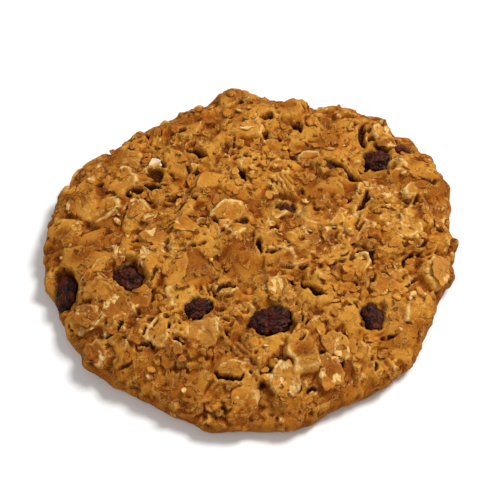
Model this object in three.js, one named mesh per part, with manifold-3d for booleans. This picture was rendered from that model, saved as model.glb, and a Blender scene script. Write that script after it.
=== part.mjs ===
// An oatmeal raisin cookie, as it lies flat after baking. The dough is one solid: a domed disc with a lumpy
// crust, rolled-oat flakes fused into it, and cracks where it opened in the oven. Each raisin that shows is
// a solid of its own, in a pocket that the dough leaves for it.
//
// Millimetres and degrees. +Z is up, +X is right, +Y is the far side, and the underside lies on Z = 0.
import * as THREE from "three";
import { mergeVertices } from "three/addons/utils/BufferGeometryUtils.js";
import Module from "manifold-3d";

const wasm = await Module();
wasm.setup();

// ---- Driving dimensions ----

const WIDTH = 85.5; // of the rim's ellipse, before its swells, rags and flakes
const DEPTH = 83;
const HEIGHT = 10.4; // smooth crust at the middle, before its lumps and flakes
const RIM_HEIGHT = 3.1; // height of the rim's widest line
const FOOT_INSET = 2.4; // from the widest line in to the edge of the flat underside
const DOME_FLATNESS = 3; // 2 is a plain ellipse in section, more is a flatter top with a tighter shoulder
const OFF_CENTRE = [-0.42, 0.17]; // from the middle of the rim's ellipse to the middle of the whole cookie

// Where the rim swells out (or is flat, where out is negative), and how far round its reach goes.
const SWELLS = [
  { at: 37, reach: 21, out: 3.6 },
  { at: 75, reach: 9, out: -0.8 },
  { at: 128, reach: 20, out: -2.3 },
  { at: 160, reach: 12, out: 0.7 },
  { at: 232, reach: 15, out: -1.1 },
  { at: 299, reach: 14, out: -1.5 },
  { at: 338, reach: 17, out: -2.4 },
];

// The rim's raggedness: waves round it, LEAST_RAGS to MOST_RAGS of them, each smaller than the one before.
const LEAST_RAGS = 8;
const MOST_RAGS = 30;
const RAG_SIZE = 0.42;
const RAG_DECLINE = 0.9; // the power of their number by which the waves grow smaller

// The crust's lumps: sums of waves of these lengths, and how high each sum stands.
const MOUNDS = { waves: 12, shortest: 17, longest: 30, height: 0.5 };
const LUMPS = { waves: 18, shortest: 6, longest: 10, height: 0.4 };
const WAVE_RISE = 0.6; // radians by which a wave's direction may rise or fall

// Rolled oats. A flake is an oval wafer, and shows as much of itself as its lift and tilt leave out of the
// dough.
const STREWN_FLAKES = 80;
const FLAKE_THICKNESS = 0.9;
const FLAKE_SIDES = 7;
const FLAKE_TOP = 0.74; // a flake's top edge over its base
const FLAKE_DOME = 0.3; // rise of its middle above its top edge, over its thickness
const FLAKE_TAPER = 0.16; // one end is this much wider than the middle, the other this much narrower
const FLAKE_LENGTH = [5, 8.8];
const FLAKE_SHAPE = [0.66, 0.86]; // width over length
const FLAKE_LIFT = [-0.25, 0.4];
const FLAKE_TILT = [2, 15];
const LOWEST_FLAKE = 0.43; // share of the cookie's skin, from the middle of the top, that carries flakes
const FLAKE_STEP = [0.1, 0.9]; // where a flake lies within its own step outwards on the spiral
const FLAKE_STRAY = 0.12; // radians that a flake may stray from its place on the spiral
const FLAT_RIM_FLAKES = 5; // the higher, the fewer of the outermost flakes lie flat and sunk
const RIM_FLAKE_SINK = 0.9;

// The flakes that lie clear of the dough: place, length, width, which way they point, and how they tilt.
const BOLD_LIFT = 0.45;
const BOLD_FLAKES = [
  { at: [-20.6, 17.0], length: 5.6, width: 3.6, yaw: 5, tilt: 26, down: 270 },
  { at: [-0.6, 27.6], length: 6.2, width: 4.6, yaw: 20, tilt: 6, down: 200 },
  { at: [-31.3, 8.0], length: 8.6, width: 6.4, yaw: 15, tilt: 8, down: 160 },
  { at: [-24.0, 5.2], length: 7.2, width: 5.2, yaw: 60, tilt: 12, down: 300 },
  { at: [28.8, 28.6], length: 8.2, width: 5.4, yaw: 78, tilt: 20, down: 0 },
  { at: [31.0, 3.6], length: 8.0, width: 6.2, yaw: 330, tilt: 14, down: 120 },
  { at: [19.4, 3.4], length: 7.0, width: 5.2, yaw: 40, tilt: 14, down: 40 },
  { at: [34.0, -16.0], length: 9.2, width: 7.0, yaw: 50, tilt: 6, down: 330 },
  { at: [-10.4, -23.6], length: 7.4, width: 6.2, yaw: 10, tilt: 16, down: 270 },
  { at: [16.7, -25.3], length: 6.8, width: 5.0, yaw: 110, tilt: 10, down: 210 },
  { at: [38.0, -6.8], length: 6.6, width: 5.0, yaw: 80, tilt: 12, down: 0 },
  { at: [-5.5, 4.5], length: 8.6, width: 6.0, yaw: 25, tilt: 7, down: 290 },
  { at: [5.5, -6.5], length: 7.6, width: 5.6, yaw: 150, tilt: 12, down: 240 },
  { at: [-15.5, -8.0], length: 7.6, width: 5.4, yaw: 95, tilt: 13, down: 190 },
];

// Raisins: place, length, width, thickness, which way they point, and how far their middle stands above the
// crust.
const RAISINS = [
  { at: [-39.0, -11.0], length: 9.8, width: 7.0, thickness: 5.0, yaw: 78, lift: -0.8 },
  { at: [-11.0, -17.5], length: 7.6, width: 6.4, thickness: 4.6, yaw: 30, lift: -1.1 },
  { at: [3.7, -19.6], length: 10.6, width: 8.0, thickness: 5.2, yaw: 8, lift: -1.2 },
  { at: [-25.4, -8.8], length: 8.4, width: 6.4, thickness: 4.8, yaw: 155, lift: -1.5 },
  { at: [24.4, -18.6], length: 7.8, width: 5.8, thickness: 4.6, yaw: 100, lift: -1.3 },
  { at: [26.7, 20.8], length: 7.6, width: 6.6, thickness: 5.0, yaw: 70, lift: -0.8 },
  { at: [32.6, 26.0], length: 6.0, width: 5.0, thickness: 4.2, yaw: 20, lift: -1.0 },
  { at: [15.6, 17.4], length: 8.0, width: 5.2, thickness: 4.4, yaw: 152, lift: -1.4 },
  { at: [6.6, 7.4], length: 7.8, width: 5.2, thickness: 4.4, yaw: 172, lift: -1.3 },
];
const RAISIN_DETAIL = 2;
const RAISIN_CREASE = 0.2; // depth of its creases, as a share of its radius
const RAISIN_FOLDS = { waves: 5, shortest: 0.9, longest: 1.6, height: 0.7 }; // over a ball of radius 1
const POCKET_GAP = 0.32;

// Cracks: place, length, width, depth, which way they run, and how far they bow to one side.
const CRACKS = [
  { at: [-11.8, 21.8], length: 6.6, width: 1.5, depth: 3.2, yaw: 318, bow: 0.6 },
  { at: [-20.8, 14.2], length: 4.6, width: 1.9, depth: 3.4, yaw: 8, bow: -0.8 },
  { at: [24.6, 28.4], length: 8.2, width: 1.3, depth: 3.0, yaw: 84, bow: 1.2 },
  { at: [21.2, 15.6], length: 4.6, width: 1.2, depth: 3.0, yaw: 325, bow: 0.3 },
  { at: [22.8, 9.0], length: 6.4, width: 1.1, depth: 3.0, yaw: 72, bow: -0.7 },
  { at: [-13.6, 7.6], length: 6.8, width: 1.3, depth: 2.8, yaw: 48, bow: 0.9 },
  { at: [-24.4, 11.4], length: 4.8, width: 1.3, depth: 2.8, yaw: 12, bow: 0.8 },
  { at: [9.6, 29.6], length: 4.0, width: 1.1, depth: 2.6, yaw: 304, bow: 0.3 },
  { at: [-2.4, 15.5], length: 4.6, width: 1.2, depth: 2.8, yaw: 295, bow: 0.4 },
  { at: [-5.4, -13.2], length: 6.0, width: 1.2, depth: 2.8, yaw: 20, bow: 1.0 },
  { at: [12.4, -12.6], length: 6.4, width: 1.2, depth: 2.8, yaw: 335, bow: -0.9 },
  { at: [-28.0, -20.6], length: 6.4, width: 1.3, depth: 2.8, yaw: 230, bow: 1.0 },
  { at: [-4.6, -31.6], length: 6.8, width: 1.2, depth: 2.6, yaw: 350, bow: -1.1 },
  { at: [32.4, -4.6], length: 5.2, width: 1.1, depth: 2.6, yaw: 60, bow: 0.7 },
];
const CRACK_SEGMENTS = 3; // straight pieces along each side of a crack

// Facets.
const DOUGH_DETAIL = 10; // the dough's icosahedron has 20 * (detail + 1) squared facets
const FACETS_ABOVE = 0.93; // share of them on the crust, and the rest are cut away under the foot
const SECTION_STEPS = 60;
const TRIMMED_BELOW = 1.5; // the dough is made this much too deep, then cut flat at Z = 0

const CRUST_COLOUR = 0xb5732f;
const RAISIN_COLOUR = 0x3c1d17;

const MERGED_WITHIN = 1e-4; // vertices closer than this are one
const INSIDE_RIM = 0.995; // what is placed in plan stays within this share of the rim's radius

const MEAN_RADIUS = (WIDTH + DEPTH) / 4;
const UP = new THREE.Vector3(0, 0, 1);
const { cos, sin, hypot, atan2, sqrt, exp, PI } = Math;
const radians = THREE.MathUtils.degToRad;

// ---- Seeded draws ----

// Lehmer's stream of numbers: each is the one before times a factor, kept under a prime.
const LEHMER_FACTOR = 48271;
const LEHMER_PRIME = 2147483647;
const FIRST_NUMBER = 4711;
let latest = FIRST_NUMBER;

// The next number between low and high from this one fixed stream, so every build strews the same cookie.
function draw(low, high) {
  latest = (latest * LEHMER_FACTOR) % LEHMER_PRIME;
  return low + ((high - low) * latest) / LEHMER_PRIME;
}

// ---- The crust's form ----

const rags = [];
for (let count = LEAST_RAGS; count <= MOST_RAGS; count++) {
  rags.push({ count, size: (RAG_SIZE * sqrt(LEAST_RAGS)) / count ** RAG_DECLINE, phase: draw(0, 2 * PI) });
}

// The distance from the axis to the rim's widest line, towards an angle in radians.
function rimRadius(angle) {
  let radius = 1 / hypot(cos(angle) / (WIDTH / 2), sin(angle) / (DEPTH / 2));
  for (const { at, reach, out } of SWELLS) {
    const away = atan2(sin(angle - radians(at)), cos(angle - radians(at)));
    radius += out * exp(-((away / radians(reach)) ** 2));
  }
  for (const { count, size, phase } of rags) radius += size * cos(count * angle + phase);
  return radius;
}

// A sum of evenly sized waves in random directions, which rises and falls like the top of a baked dough.
function waveField({ waves, shortest, longest, height }) {
  const made = [];
  for (let i = 0; i < waves; i++) {
    const heading = draw(0, 2 * PI);
    const rise = draw(-WAVE_RISE, WAVE_RISE);
    const perRadian = (2 * PI) / draw(shortest, longest);
    const phase = draw(0, 2 * PI);
    const direction = new THREE.Vector3(cos(heading) * cos(rise), sin(heading) * cos(rise), sin(rise));
    made.push({ push: direction.multiplyScalar(perRadian), phase });
  }
  const share = height * sqrt(2 / waves);
  return (point) => made.reduce((sum, { push, phase }) => sum + share * cos(point.dot(push) + phase), 0);
}

const mounds = waveField(MOUNDS);
const lumps = waveField(LUMPS);

// The cookie's section, from the middle of its top round the rim to the middle of its underside. Each entry
// has its distance from the axis as a share of the rim's, its height, and the share of the skin's area that
// lies before it. The crust is a superellipse and the side below the widest line a quarter ellipse.
function makeSection() {
  const points = [];
  for (let i = 0; i < SECTION_STEPS; i++) {
    const turn = ((i / SECTION_STEPS) * PI) / 2;
    points.push({
      share: sin(turn) ** (2 / DOME_FLATNESS),
      height: RIM_HEIGHT + (HEIGHT - RIM_HEIGHT) * cos(turn),
    });
  }
  for (let i = 0; i <= SECTION_STEPS; i++) {
    const turn = ((i / SECTION_STEPS) * PI) / 2;
    points.push({
      share: 1 - (FOOT_INSET / MEAN_RADIUS) * (1 - cos(turn)),
      height: RIM_HEIGHT * (1 - sin(turn)),
    });
  }
  points.push({ share: 0, height: 0 });
  let area = 0;
  points.forEach((point, i) => {
    const last = points[Math.max(0, i - 1)];
    const along = hypot((point.share - last.share) * MEAN_RADIUS, point.height - last.height);
    area += along * (point.share + last.share);
    point.area = area;
  });
  for (const point of points) point.area /= area;
  return points;
}

const section = makeSection();
const foot = section[2 * SECTION_STEPS];

// The section's point at a share of the skin's area, and which way the skin faces there.
function sectionAt(area) {
  const i = Math.max(1, section.findIndex((point) => point.area >= area));
  const [a, b] = [section[i - 1], section[i]];
  const between = (area - a.area) / (b.area - a.area);
  const out = a.height - b.height;
  const up = (b.share - a.share) * MEAN_RADIUS;
  return {
    share: a.share + (b.share - a.share) * between,
    height: a.height + (b.height - a.height) * between,
    out: out / hypot(out, up),
    up: up / hypot(out, up),
  };
}

// A point of the crust, lumps and all, and the smooth skin's normal there.
function crustAt(area, angle) {
  const { share, height, out, up } = sectionAt(area);
  const radius = share * rimRadius(angle);
  const point = new THREE.Vector3(radius * cos(angle), radius * sin(angle), height);
  const normal = new THREE.Vector3(out * cos(angle), out * sin(angle), up);
  const fade = THREE.MathUtils.smoothstep(height, 0, RIM_HEIGHT);
  point.addScaledVector(normal, fade * (mounds(point) + lumps(point)));
  return { point, normal };
}

// The crust over a place in plan.
function crustOver([x, y]) {
  const angle = atan2(y, x);
  const share = Math.min(hypot(x, y) / rimRadius(angle), INSIDE_RIM);
  const i = section.findIndex((point) => point.share >= share);
  const [a, b] = [section[i - 1], section[i]];
  const area = a.area + ((b.area - a.area) * (share - a.share)) / (b.share - a.share);
  return crustAt(area, angle);
}

// ---- Solids ----

// A three.js geometry as a manifold-3d solid, with the vertices that its faces share merged.
function solidOf(geometry) {
  geometry.deleteAttribute("normal");
  geometry.deleteAttribute("uv");
  const merged = mergeVertices(geometry, MERGED_WITHIN);
  const vertProperties = merged.attributes.position.array;
  const triVerts = new Uint32Array(merged.index.array);
  return new wasm.Manifold(new wasm.Mesh({ numProp: 3, vertProperties, triVerts }));
}

// Stands a geometry made round the origin, its flat side facing +Z, on the crust: turned by yaw, tipped by
// tilt degrees so that its edge towards down (a heading in plan) dips, and lifted along the normal.
function settle(geometry, { point, normal }, { yaw = 0, tilt = 0, down = 0, lift = 0 }) {
  const heading = radians(down);
  const hinge = new THREE.Vector3(-sin(heading), cos(heading), 0);
  const turn = new THREE.Quaternion()
    .setFromUnitVectors(UP, normal)
    .multiply(new THREE.Quaternion().setFromAxisAngle(hinge, radians(tilt)))
    .multiply(new THREE.Quaternion().setFromAxisAngle(UP, radians(yaw)));
  const place = point.clone().addScaledVector(normal, lift);
  return geometry.applyMatrix4(new THREE.Matrix4().compose(place, turn, new THREE.Vector3(1, 1, 1)));
}

// The dough before its flakes and cracks: a ball's facets laid over the cookie's skin, a little too deep
// below.
function core() {
  const geometry = new THREE.IcosahedronGeometry(1, DOUGH_DETAIL);
  const position = geometry.getAttribute("position");
  const ball = new THREE.Vector3();
  for (let i = 0; i < position.count; i++) {
    ball.fromBufferAttribute(position, i);
    const before = (1 - ball.z) / 2; // share of the ball's skin above this vertex
    const area =
      before < FACETS_ABOVE
        ? (before / FACETS_ABOVE) * foot.area
        : foot.area + ((before - FACETS_ABOVE) / (1 - FACETS_ABOVE)) * (1 - foot.area);
    const { point } = crustAt(Math.min(area, 1), atan2(ball.y, ball.x));
    const drop = TRIMMED_BELOW * (1 - THREE.MathUtils.smoothstep(point.z, 0, RIM_HEIGHT));
    position.setXYZ(i, point.x, point.y, point.z - drop);
  }
  return solidOf(geometry);
}

// All that lies below the underside, to cut it flat.
function table() {
  const size = 2 * WIDTH;
  return solidOf(new THREE.BoxGeometry(size, size, size).translate(0, 0, -size / 2));
}

// One rolled oat: an egg-shaped wafer with a smaller, domed top.
function flake(length, width, spot, pose) {
  const wafer = new THREE.CylinderGeometry(FLAKE_TOP, 1, 1, FLAKE_SIDES).rotateX(PI / 2);
  const position = wafer.getAttribute("position");
  const v = new THREE.Vector3();
  for (let i = 0; i < position.count; i++) {
    v.fromBufferAttribute(position, i);
    const dome = v.z > 0 && hypot(v.x, v.y) < FLAKE_TOP / 2 ? FLAKE_DOME : 0;
    position.setXYZ(i, v.x, v.y * (1 + FLAKE_TAPER * v.x), v.z + dome);
  }
  wafer.scale(length / 2, width / 2, FLAKE_THICKNESS);
  return solidOf(settle(wafer, spot, pose));
}

// The flakes of the crust, on a sunflower spiral by area, which spreads them evenly.
function strewnFlakes() {
  const golden = PI * (3 - sqrt(5));
  const made = [];
  for (let i = 0; i < STREWN_FLAKES; i++) {
    const area = (LOWEST_FLAKE * (i + draw(...FLAKE_STEP))) / STREWN_FLAKES;
    const angle = i * golden + draw(-FLAKE_STRAY, FLAKE_STRAY);
    const length = draw(...FLAKE_LENGTH);
    const width = length * draw(...FLAKE_SHAPE);
    const pose = {
      yaw: draw(0, 360),
      tilt: draw(...FLAKE_TILT),
      down: draw(0, 360),
      lift: draw(...FLAKE_LIFT),
    };
    const outermost = (i / STREWN_FLAKES) ** FLAT_RIM_FLAKES;
    pose.tilt *= 1 - outermost;
    pose.lift -= RIM_FLAKE_SINK * outermost;
    made.push(flake(length, width, crustAt(area, angle), pose));
  }
  return made;
}

function boldFlakes() {
  return BOLD_FLAKES.map(({ at, length, width, ...pose }) =>
    flake(length, width, crustOver(at), { ...pose, lift: BOLD_LIFT }),
  );
}

// A crack: a crescent in plan, cut straight down into the crust.
function crack({ at, length, width, depth, yaw, bow }) {
  const plan = new THREE.Shape();
  plan.moveTo(-length / 2, 0);
  plan.quadraticCurveTo(0, 2 * bow + width, length / 2, 0);
  plan.quadraticCurveTo(0, 2 * bow - width, -length / 2, 0);
  const blade = new THREE.ExtrudeGeometry(plan, {
    depth: 2 * depth,
    bevelEnabled: false,
    curveSegments: CRACK_SEGMENTS,
  }).translate(0, 0, -depth);
  return solidOf(settle(blade, crustOver(at), { yaw }));
}

// A raisin, or with a gap its pocket: an ellipsoid whose creases run in from its skin.
function raisin({ at, length, width, thickness, yaw, lift }, creases, gap = 0) {
  const geometry = new THREE.IcosahedronGeometry(1, RAISIN_DETAIL);
  const position = geometry.getAttribute("position");
  const v = new THREE.Vector3();
  for (let i = 0; i < position.count; i++) {
    v.fromBufferAttribute(position, i);
    const radius = gap ? 1 : 1 - RAISIN_CREASE * (0.5 - 0.5 * creases(v));
    position.setXYZ(i, v.x * radius, v.y * radius, v.z * radius);
  }
  geometry.scale(length / 2 + gap, width / 2 + gap, thickness / 2 + gap);
  return settle(geometry, crustOver(at), { yaw, lift });
}

// ---- The cookie ----

// A solid as a named mesh, with its facets flat and the cookie's middle over the origin.
function meshOf(name, solid, material) {
  const { numProp, vertProperties, triVerts } = solid.getMesh();
  const geometry = new THREE.BufferGeometry();
  geometry.setAttribute("position", new THREE.BufferAttribute(new Float32Array(vertProperties), numProp));
  geometry.setIndex(new THREE.BufferAttribute(triVerts, 1));
  const mesh = new THREE.Mesh(geometry, material);
  mesh.name = name;
  mesh.position.set(-OFF_CENTRE[0], -OFF_CENTRE[1], 0);
  return mesh;
}

const cookie = new THREE.Group();
const crustMaterial = new THREE.MeshStandardMaterial({ color: CRUST_COLOUR, roughness: 0.8, metalness: 0 });
const raisinMaterial = new THREE.MeshStandardMaterial({ color: RAISIN_COLOUR, roughness: 0.5, metalness: 0 });

let dough = core();
for (const solid of [...strewnFlakes(), ...boldFlakes()]) dough = dough.add(solid);
for (const crevice of CRACKS) dough = dough.subtract(crack(crevice));
RAISINS.forEach((spec, i) => {
  const creases = waveField(RAISIN_FOLDS);
  dough = dough.subtract(solidOf(raisin(spec, creases, POCKET_GAP)));
  cookie.add(meshOf("raisin_" + (i + 1), solidOf(raisin(spec, creases)), raisinMaterial));
});
dough = dough.subtract(table());

// A cut can leave a loose scrap of a flake: only the cookie itself is kept.
const [whole] = dough.decompose().sort((a, b) => b.volume() - a.volume());
cookie.add(meshOf("oat_dough", whole, crustMaterial));

export default cookie;
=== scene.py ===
# %% [markdown]
# # An oatmeal raisin cookie
#
# A baked cookie is a crust of oat dough that rose, cracked and browned, with rolled oats lying in it like
# shingles and raisins sunk in pockets. The solid cookie gives the true outline, the place of every large
# oat, crack and raisin, and the flat underside. This lesson dresses it: first the crust as one closed
# surface with its relief, then the loose-edged oats, the torn shreds and the wrinkled raisins, and last the
# finishes, the light and the camera.

# %% Load the solid cookie
import itertools
from collections import namedtuple

import bpy
import numpy as np
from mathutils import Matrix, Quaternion, Vector


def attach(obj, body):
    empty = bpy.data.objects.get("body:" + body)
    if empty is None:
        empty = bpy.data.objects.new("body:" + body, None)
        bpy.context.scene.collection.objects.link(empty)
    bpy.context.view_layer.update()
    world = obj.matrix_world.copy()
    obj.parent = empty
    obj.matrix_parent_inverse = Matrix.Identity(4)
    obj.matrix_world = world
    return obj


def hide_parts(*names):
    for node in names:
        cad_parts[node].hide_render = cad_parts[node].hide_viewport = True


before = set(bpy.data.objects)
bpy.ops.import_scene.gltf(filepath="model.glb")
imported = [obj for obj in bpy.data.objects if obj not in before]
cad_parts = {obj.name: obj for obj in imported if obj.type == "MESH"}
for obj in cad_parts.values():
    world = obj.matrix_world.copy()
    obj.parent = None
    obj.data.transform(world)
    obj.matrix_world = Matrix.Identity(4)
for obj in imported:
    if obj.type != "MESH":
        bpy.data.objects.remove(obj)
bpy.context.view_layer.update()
MM = 0.001

# %% [markdown]
# ## The cookie's own sizes
#
# These are the driving sizes of the solid cookie, in millimetres and degrees, so that the crust made here
# lies on it. The rim swells in a few places and is ragged all round. The section is a flattened dome over a
# rounded side.

# %% Driving sizes
WIDTH = 85.5
DEPTH = 83
HEIGHT = 10.4
RIM_HEIGHT = 3.1
FOOT_INSET = 2.4
DOME_FLATNESS = 3
OFF_CENTRE = np.array([-0.42, 0.17, 0])
SWELLS = [(37, 21, 3.6), (75, 9, -0.8), (128, 20, -2.3), (160, 12, 0.7), (232, 15, -1.1), (299, 14, -1.5),
          (338, 17, -2.4)]  # towards, reach round the rim, out
LEAST_RAGS = 8
MOST_RAGS = 30
RAG_SIZE = 0.42
RAG_FADING = 0.9
MOUNDS = dict(waves=12, shortest=17, longest=30, height=0.5)
LUMPS = dict(waves=18, shortest=6, longest=10, height=0.4)
STEEPEST_WAVE = 0.6
MEAN_RADIUS = (WIDTH + DEPTH) / 4
UP = Vector((0, 0, 1))

# %% [markdown]
# Every chance size comes from one seeded stream, in the same order as in the solid, so both have the same
# lumps and oats. A lumpy surface is a sum of waves in all directions, which is smooth and never repeats.

# %% Seeded draws and waves
SOLID_SEED = 4711


def stream(seed):
    """A draw(low, high) whose state is multiplied by 48271 and kept under 2^31 - 1 each time."""
    state = seed

    def draw(low, high):
        nonlocal state
        state = state * 48271 % 2147483647
        return low + (high - low) * state / 2147483647

    return draw


def wave_field(draw, waves, shortest, longest, height):
    """A height over points: the sum of cosines of equal size, each with its own way and wavelength."""
    pushes, phases = np.empty((waves, 3)), np.empty(waves)
    for i in range(waves):
        heading, rise = draw(0, 2 * np.pi), draw(-STEEPEST_WAVE, STEEPEST_WAVE)
        number = 2 * np.pi / draw(shortest, longest)
        phases[i] = draw(0, 2 * np.pi)
        way = np.cos(heading) * np.cos(rise), np.sin(heading) * np.cos(rise), np.sin(rise)
        pushes[i] = number * np.array(way)
    return lambda points: height * np.sqrt(2 / waves) * np.cos(points @ pushes.T + phases).sum(-1)


draw = stream(SOLID_SEED)
rag_counts = np.arange(LEAST_RAGS, MOST_RAGS + 1)
rag_phases = np.array([draw(0, 2 * np.pi) for _ in rag_counts])
rag_sizes = RAG_SIZE * np.sqrt(LEAST_RAGS) / rag_counts**RAG_FADING
mounds = wave_field(draw, **MOUNDS)
lumps = wave_field(draw, **LUMPS)
print("rags round the rim:", len(rag_counts))

# %% [markdown]
# ## The smooth skin
#
# A point of the skin is given by two numbers: how much of the skin's area lies inside it, counted from the
# middle of the top over the rim to the middle of the underside, and its direction in plan. Counting by area
# rather than by distance spreads oats and vertices evenly.

# %% The rim and the section
JUST_INSIDE = 0.995


def rim_radius(angle):
    """An ellipse, plus a bell-shaped swell at each of SWELLS, plus the rags' cosines."""
    radius = 1 / np.hypot(np.cos(angle) / (WIDTH / 2), np.sin(angle) / (DEPTH / 2))
    for at, reach, out in SWELLS:
        away = np.angle(np.exp(1j * (angle - np.radians(at))))
        radius = radius + out * np.exp(-((away / np.radians(reach)) ** 2))
    return radius + (rag_sizes * np.cos(np.multiply.outer(angle, rag_counts) + rag_phases)).sum(-1)


def section(steps=400):
    """The crust's quarter superellipse, the side's quarter ellipse and the underside's straight line, as
    shares of the rim's radius, heights, and shares of the skin's area."""
    turn = np.arange(steps + 1) / steps * np.pi / 2
    crust = np.stack([np.sin(turn) ** (2 / DOME_FLATNESS), RIM_HEIGHT + (HEIGHT - RIM_HEIGHT) * np.cos(turn)])
    side = np.stack([1 - FOOT_INSET / MEAN_RADIUS * (1 - np.cos(turn)), RIM_HEIGHT * (1 - np.sin(turn))])
    share, height = np.hstack([crust[:, :-1], side, [[0], [0]]])
    along = np.hypot(np.diff(share) * MEAN_RADIUS, np.diff(height))
    area = np.concatenate([[0], np.cumsum(along * (share[1:] + share[:-1]))])
    return share, height, area / area[-1], steps


SHARE, HEIGHTS, AREA, STEPS = section()
RIM_AREA = AREA[STEPS]
FOOT_AREA = AREA[2 * STEPS]


def fade(value, low, high):
    """0 below low, 1 above high, and an S curve between. With low above high it falls instead."""
    t = np.clip((value - low) / (high - low), 0, 1)
    return t * t * (3 - 2 * t)


def skin(area, angle):
    """Points and outward directions of the lumpy crust. The lumps fade out from the rim down to the table."""
    share, height = np.interp(area, AREA, SHARE), np.interp(area, AREA, HEIGHTS)
    middles = (AREA[1:] + AREA[:-1]) / 2
    out = np.interp(area, middles, -np.diff(HEIGHTS))
    up = np.interp(area, middles, np.diff(SHARE) * MEAN_RADIUS)
    out, up = out / np.hypot(out, up), up / np.hypot(out, up)
    radius = share * rim_radius(angle)
    points = np.stack([radius * np.cos(angle), radius * np.sin(angle), height], -1)
    normals = np.stack([out * np.cos(angle), out * np.sin(angle), up], -1)
    rise = fade(height, 0, RIM_HEIGHT) * (mounds(points) + lumps(points))
    return points + normals * rise[..., None], normals


def area_over(x, y):
    """The area share of the skin over a place in plan, kept just inside the rim."""
    share = np.minimum(np.hypot(x, y) / rim_radius(np.arctan2(y, x)), JUST_INSIDE)
    return np.interp(share, SHARE[: STEPS + 1], AREA[: STEPS + 1])


print("area share at the rim %.3f, at the foot %.3f" % (RIM_AREA, FOOT_AREA))

# %% [markdown]
# ## Where the oats lie
#
# A rolled oat is an oval wafer of 5 to 9 mm. The large ones are those of the solid, on a sunflower spiral
# that spreads them evenly, and a few bold ones, placed one by one, lie clear of the dough or under a thin
# coat of it. Between them lie many more that are broken or coated with dough. They are too fine for the
# solid, so they are drawn here. In a few calm places smooth dough covers nearly all of them.

# %% An oat on the skin
Oat = namedtuple("Oat", "place axes length width lifted bare tone")


def oat(area, angle, length, width, yaw, tilt, down, lift, bare, tone):
    """An oat on the skin: its middle, its three directions, and which way its raised edge lies in them."""
    point, normal = (values[0] for values in skin(np.array([area]), np.array([angle])))
    heading = np.radians(down)
    turn = UP.rotation_difference(Vector(normal))
    turn = turn @ Quaternion((-np.sin(heading), np.cos(heading), 0), np.radians(tilt))
    turn = turn @ Quaternion(UP, np.radians(yaw))
    raised = np.radians(down + 180 - yaw)
    lifted = np.array([np.cos(raised), np.sin(raised)])
    return Oat(point + lift * normal, np.array(turn.to_matrix()), length, width, lifted, bare, tone)


print("an oat in the middle lies at", oat(0, 0, 1, 1, 0, 0, 0, 0, 0, 0).place.round(2).tolist(), "mm")

# %% Calm places
CALM = [
    (-5, 30, 10), (16, 26, 7.5), (35, 16, 6), (-16.5, 11.5, 4.5), (-3.5, 10, 5), (15, 11.5, 5), (29, -20, 8),
    (-24, 24, 6), (-14, -32, 6), (-33, -2, 5),
]  # x, y and reach of places where smooth dough covers nearly all
COATED_WHEN_CALM = 0.8


def calm_at(x, y):
    """How calm the crust is over a place in plan: the highest of the bells round the places in CALM."""
    return np.max([np.exp(-((x - at_x) ** 2 + (y - at_y) ** 2) / reach**2) for at_x, at_y, reach in CALM], 0)


print("calm places:", len(CALM))

# %% Large oats, as in the solid
GOLDEN_ANGLE = np.pi * (3 - np.sqrt(5))
STREWN_OATS = 80
OAT_LENGTH = (5, 8.8)
OAT_SHAPE = (0.66, 0.86)
OAT_LIFT = (-0.25, 0.4)
OAT_TILT = (2, 15)
OAT_TAPER = 0.16
OAT_THICKNESS = 0.9
LOWEST_OAT = 0.43
FLAT_RIM_OATS = 5
RIM_OAT_SINK = 0.9
BOLD_LIFT = 0.45
BOLD_OATS = [
    (-20.6, 17.0, 5.6, 3.6, 5, 26, 270, 1), (-0.6, 27.6, 6.2, 4.6, 20, 6, 200, 0.8),
    (-31.3, 8.0, 8.6, 6.4, 15, 8, 160, 0.85), (-24.0, 5.2, 7.2, 5.2, 60, 12, 300, 1),
    (28.8, 28.6, 8.2, 5.4, 78, 20, 0, 1), (31.0, 3.6, 8.0, 6.2, 330, 14, 120, 1),
    (19.4, 3.4, 7.0, 5.2, 40, 14, 40, 1), (34.0, -16.0, 9.2, 7.0, 50, 6, 330, 0.75),
    (-10.4, -23.6, 7.4, 6.2, 10, 16, 270, 1), (16.7, -25.3, 6.8, 5.0, 110, 10, 210, 1),
    (38.0, -6.8, 6.6, 5.0, 80, 12, 0, 1), (-5.5, 4.5, 8.6, 6.0, 25, 7, 290, 0.85),
    (5.5, -6.5, 7.6, 5.6, 150, 12, 240, 0.75), (-15.5, -8.0, 7.6, 5.4, 95, 13, 190, 1),
]  # x, y, length, width, yaw, tilt, the heading that the tilt dips towards, and how bare of dough it is
SEED = 83
chance = np.random.default_rng(SEED)
large_oats = []
for i in range(STREWN_OATS):
    area = LOWEST_OAT * (i + draw(0.1, 0.9)) / STREWN_OATS
    angle = i * GOLDEN_ANGLE + draw(-0.12, 0.12)
    length = draw(*OAT_LENGTH)
    width = length * draw(*OAT_SHAPE)
    yaw, tilt, down, lift = draw(0, 360), draw(*OAT_TILT), draw(0, 360), draw(*OAT_LIFT)
    outermost = (i / STREWN_OATS) ** FLAT_RIM_OATS
    tilt, lift = tilt * (1 - outermost), lift - RIM_OAT_SINK * outermost
    bare, tone = chance.uniform(0, 1), chance.uniform(-1, 1)
    this = oat(area, angle, length, width, yaw, tilt, down, lift, bare, tone)
    large_oats.append(this._replace(bare=bare * (1 - COATED_WHEN_CALM * calm_at(*this.place[:2]))))
coated_oats = []
for x, y, length, width, yaw, tilt, down, bare in BOLD_OATS:
    place = area_over(x, y), np.arctan2(y, x)
    this = oat(*place, length, width, yaw, tilt, down, BOLD_LIFT, bare, chance.uniform(0, 1))
    (large_oats if bare == 1 else coated_oats).append(this)
print("large oats:", len(large_oats + coated_oats))

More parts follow.
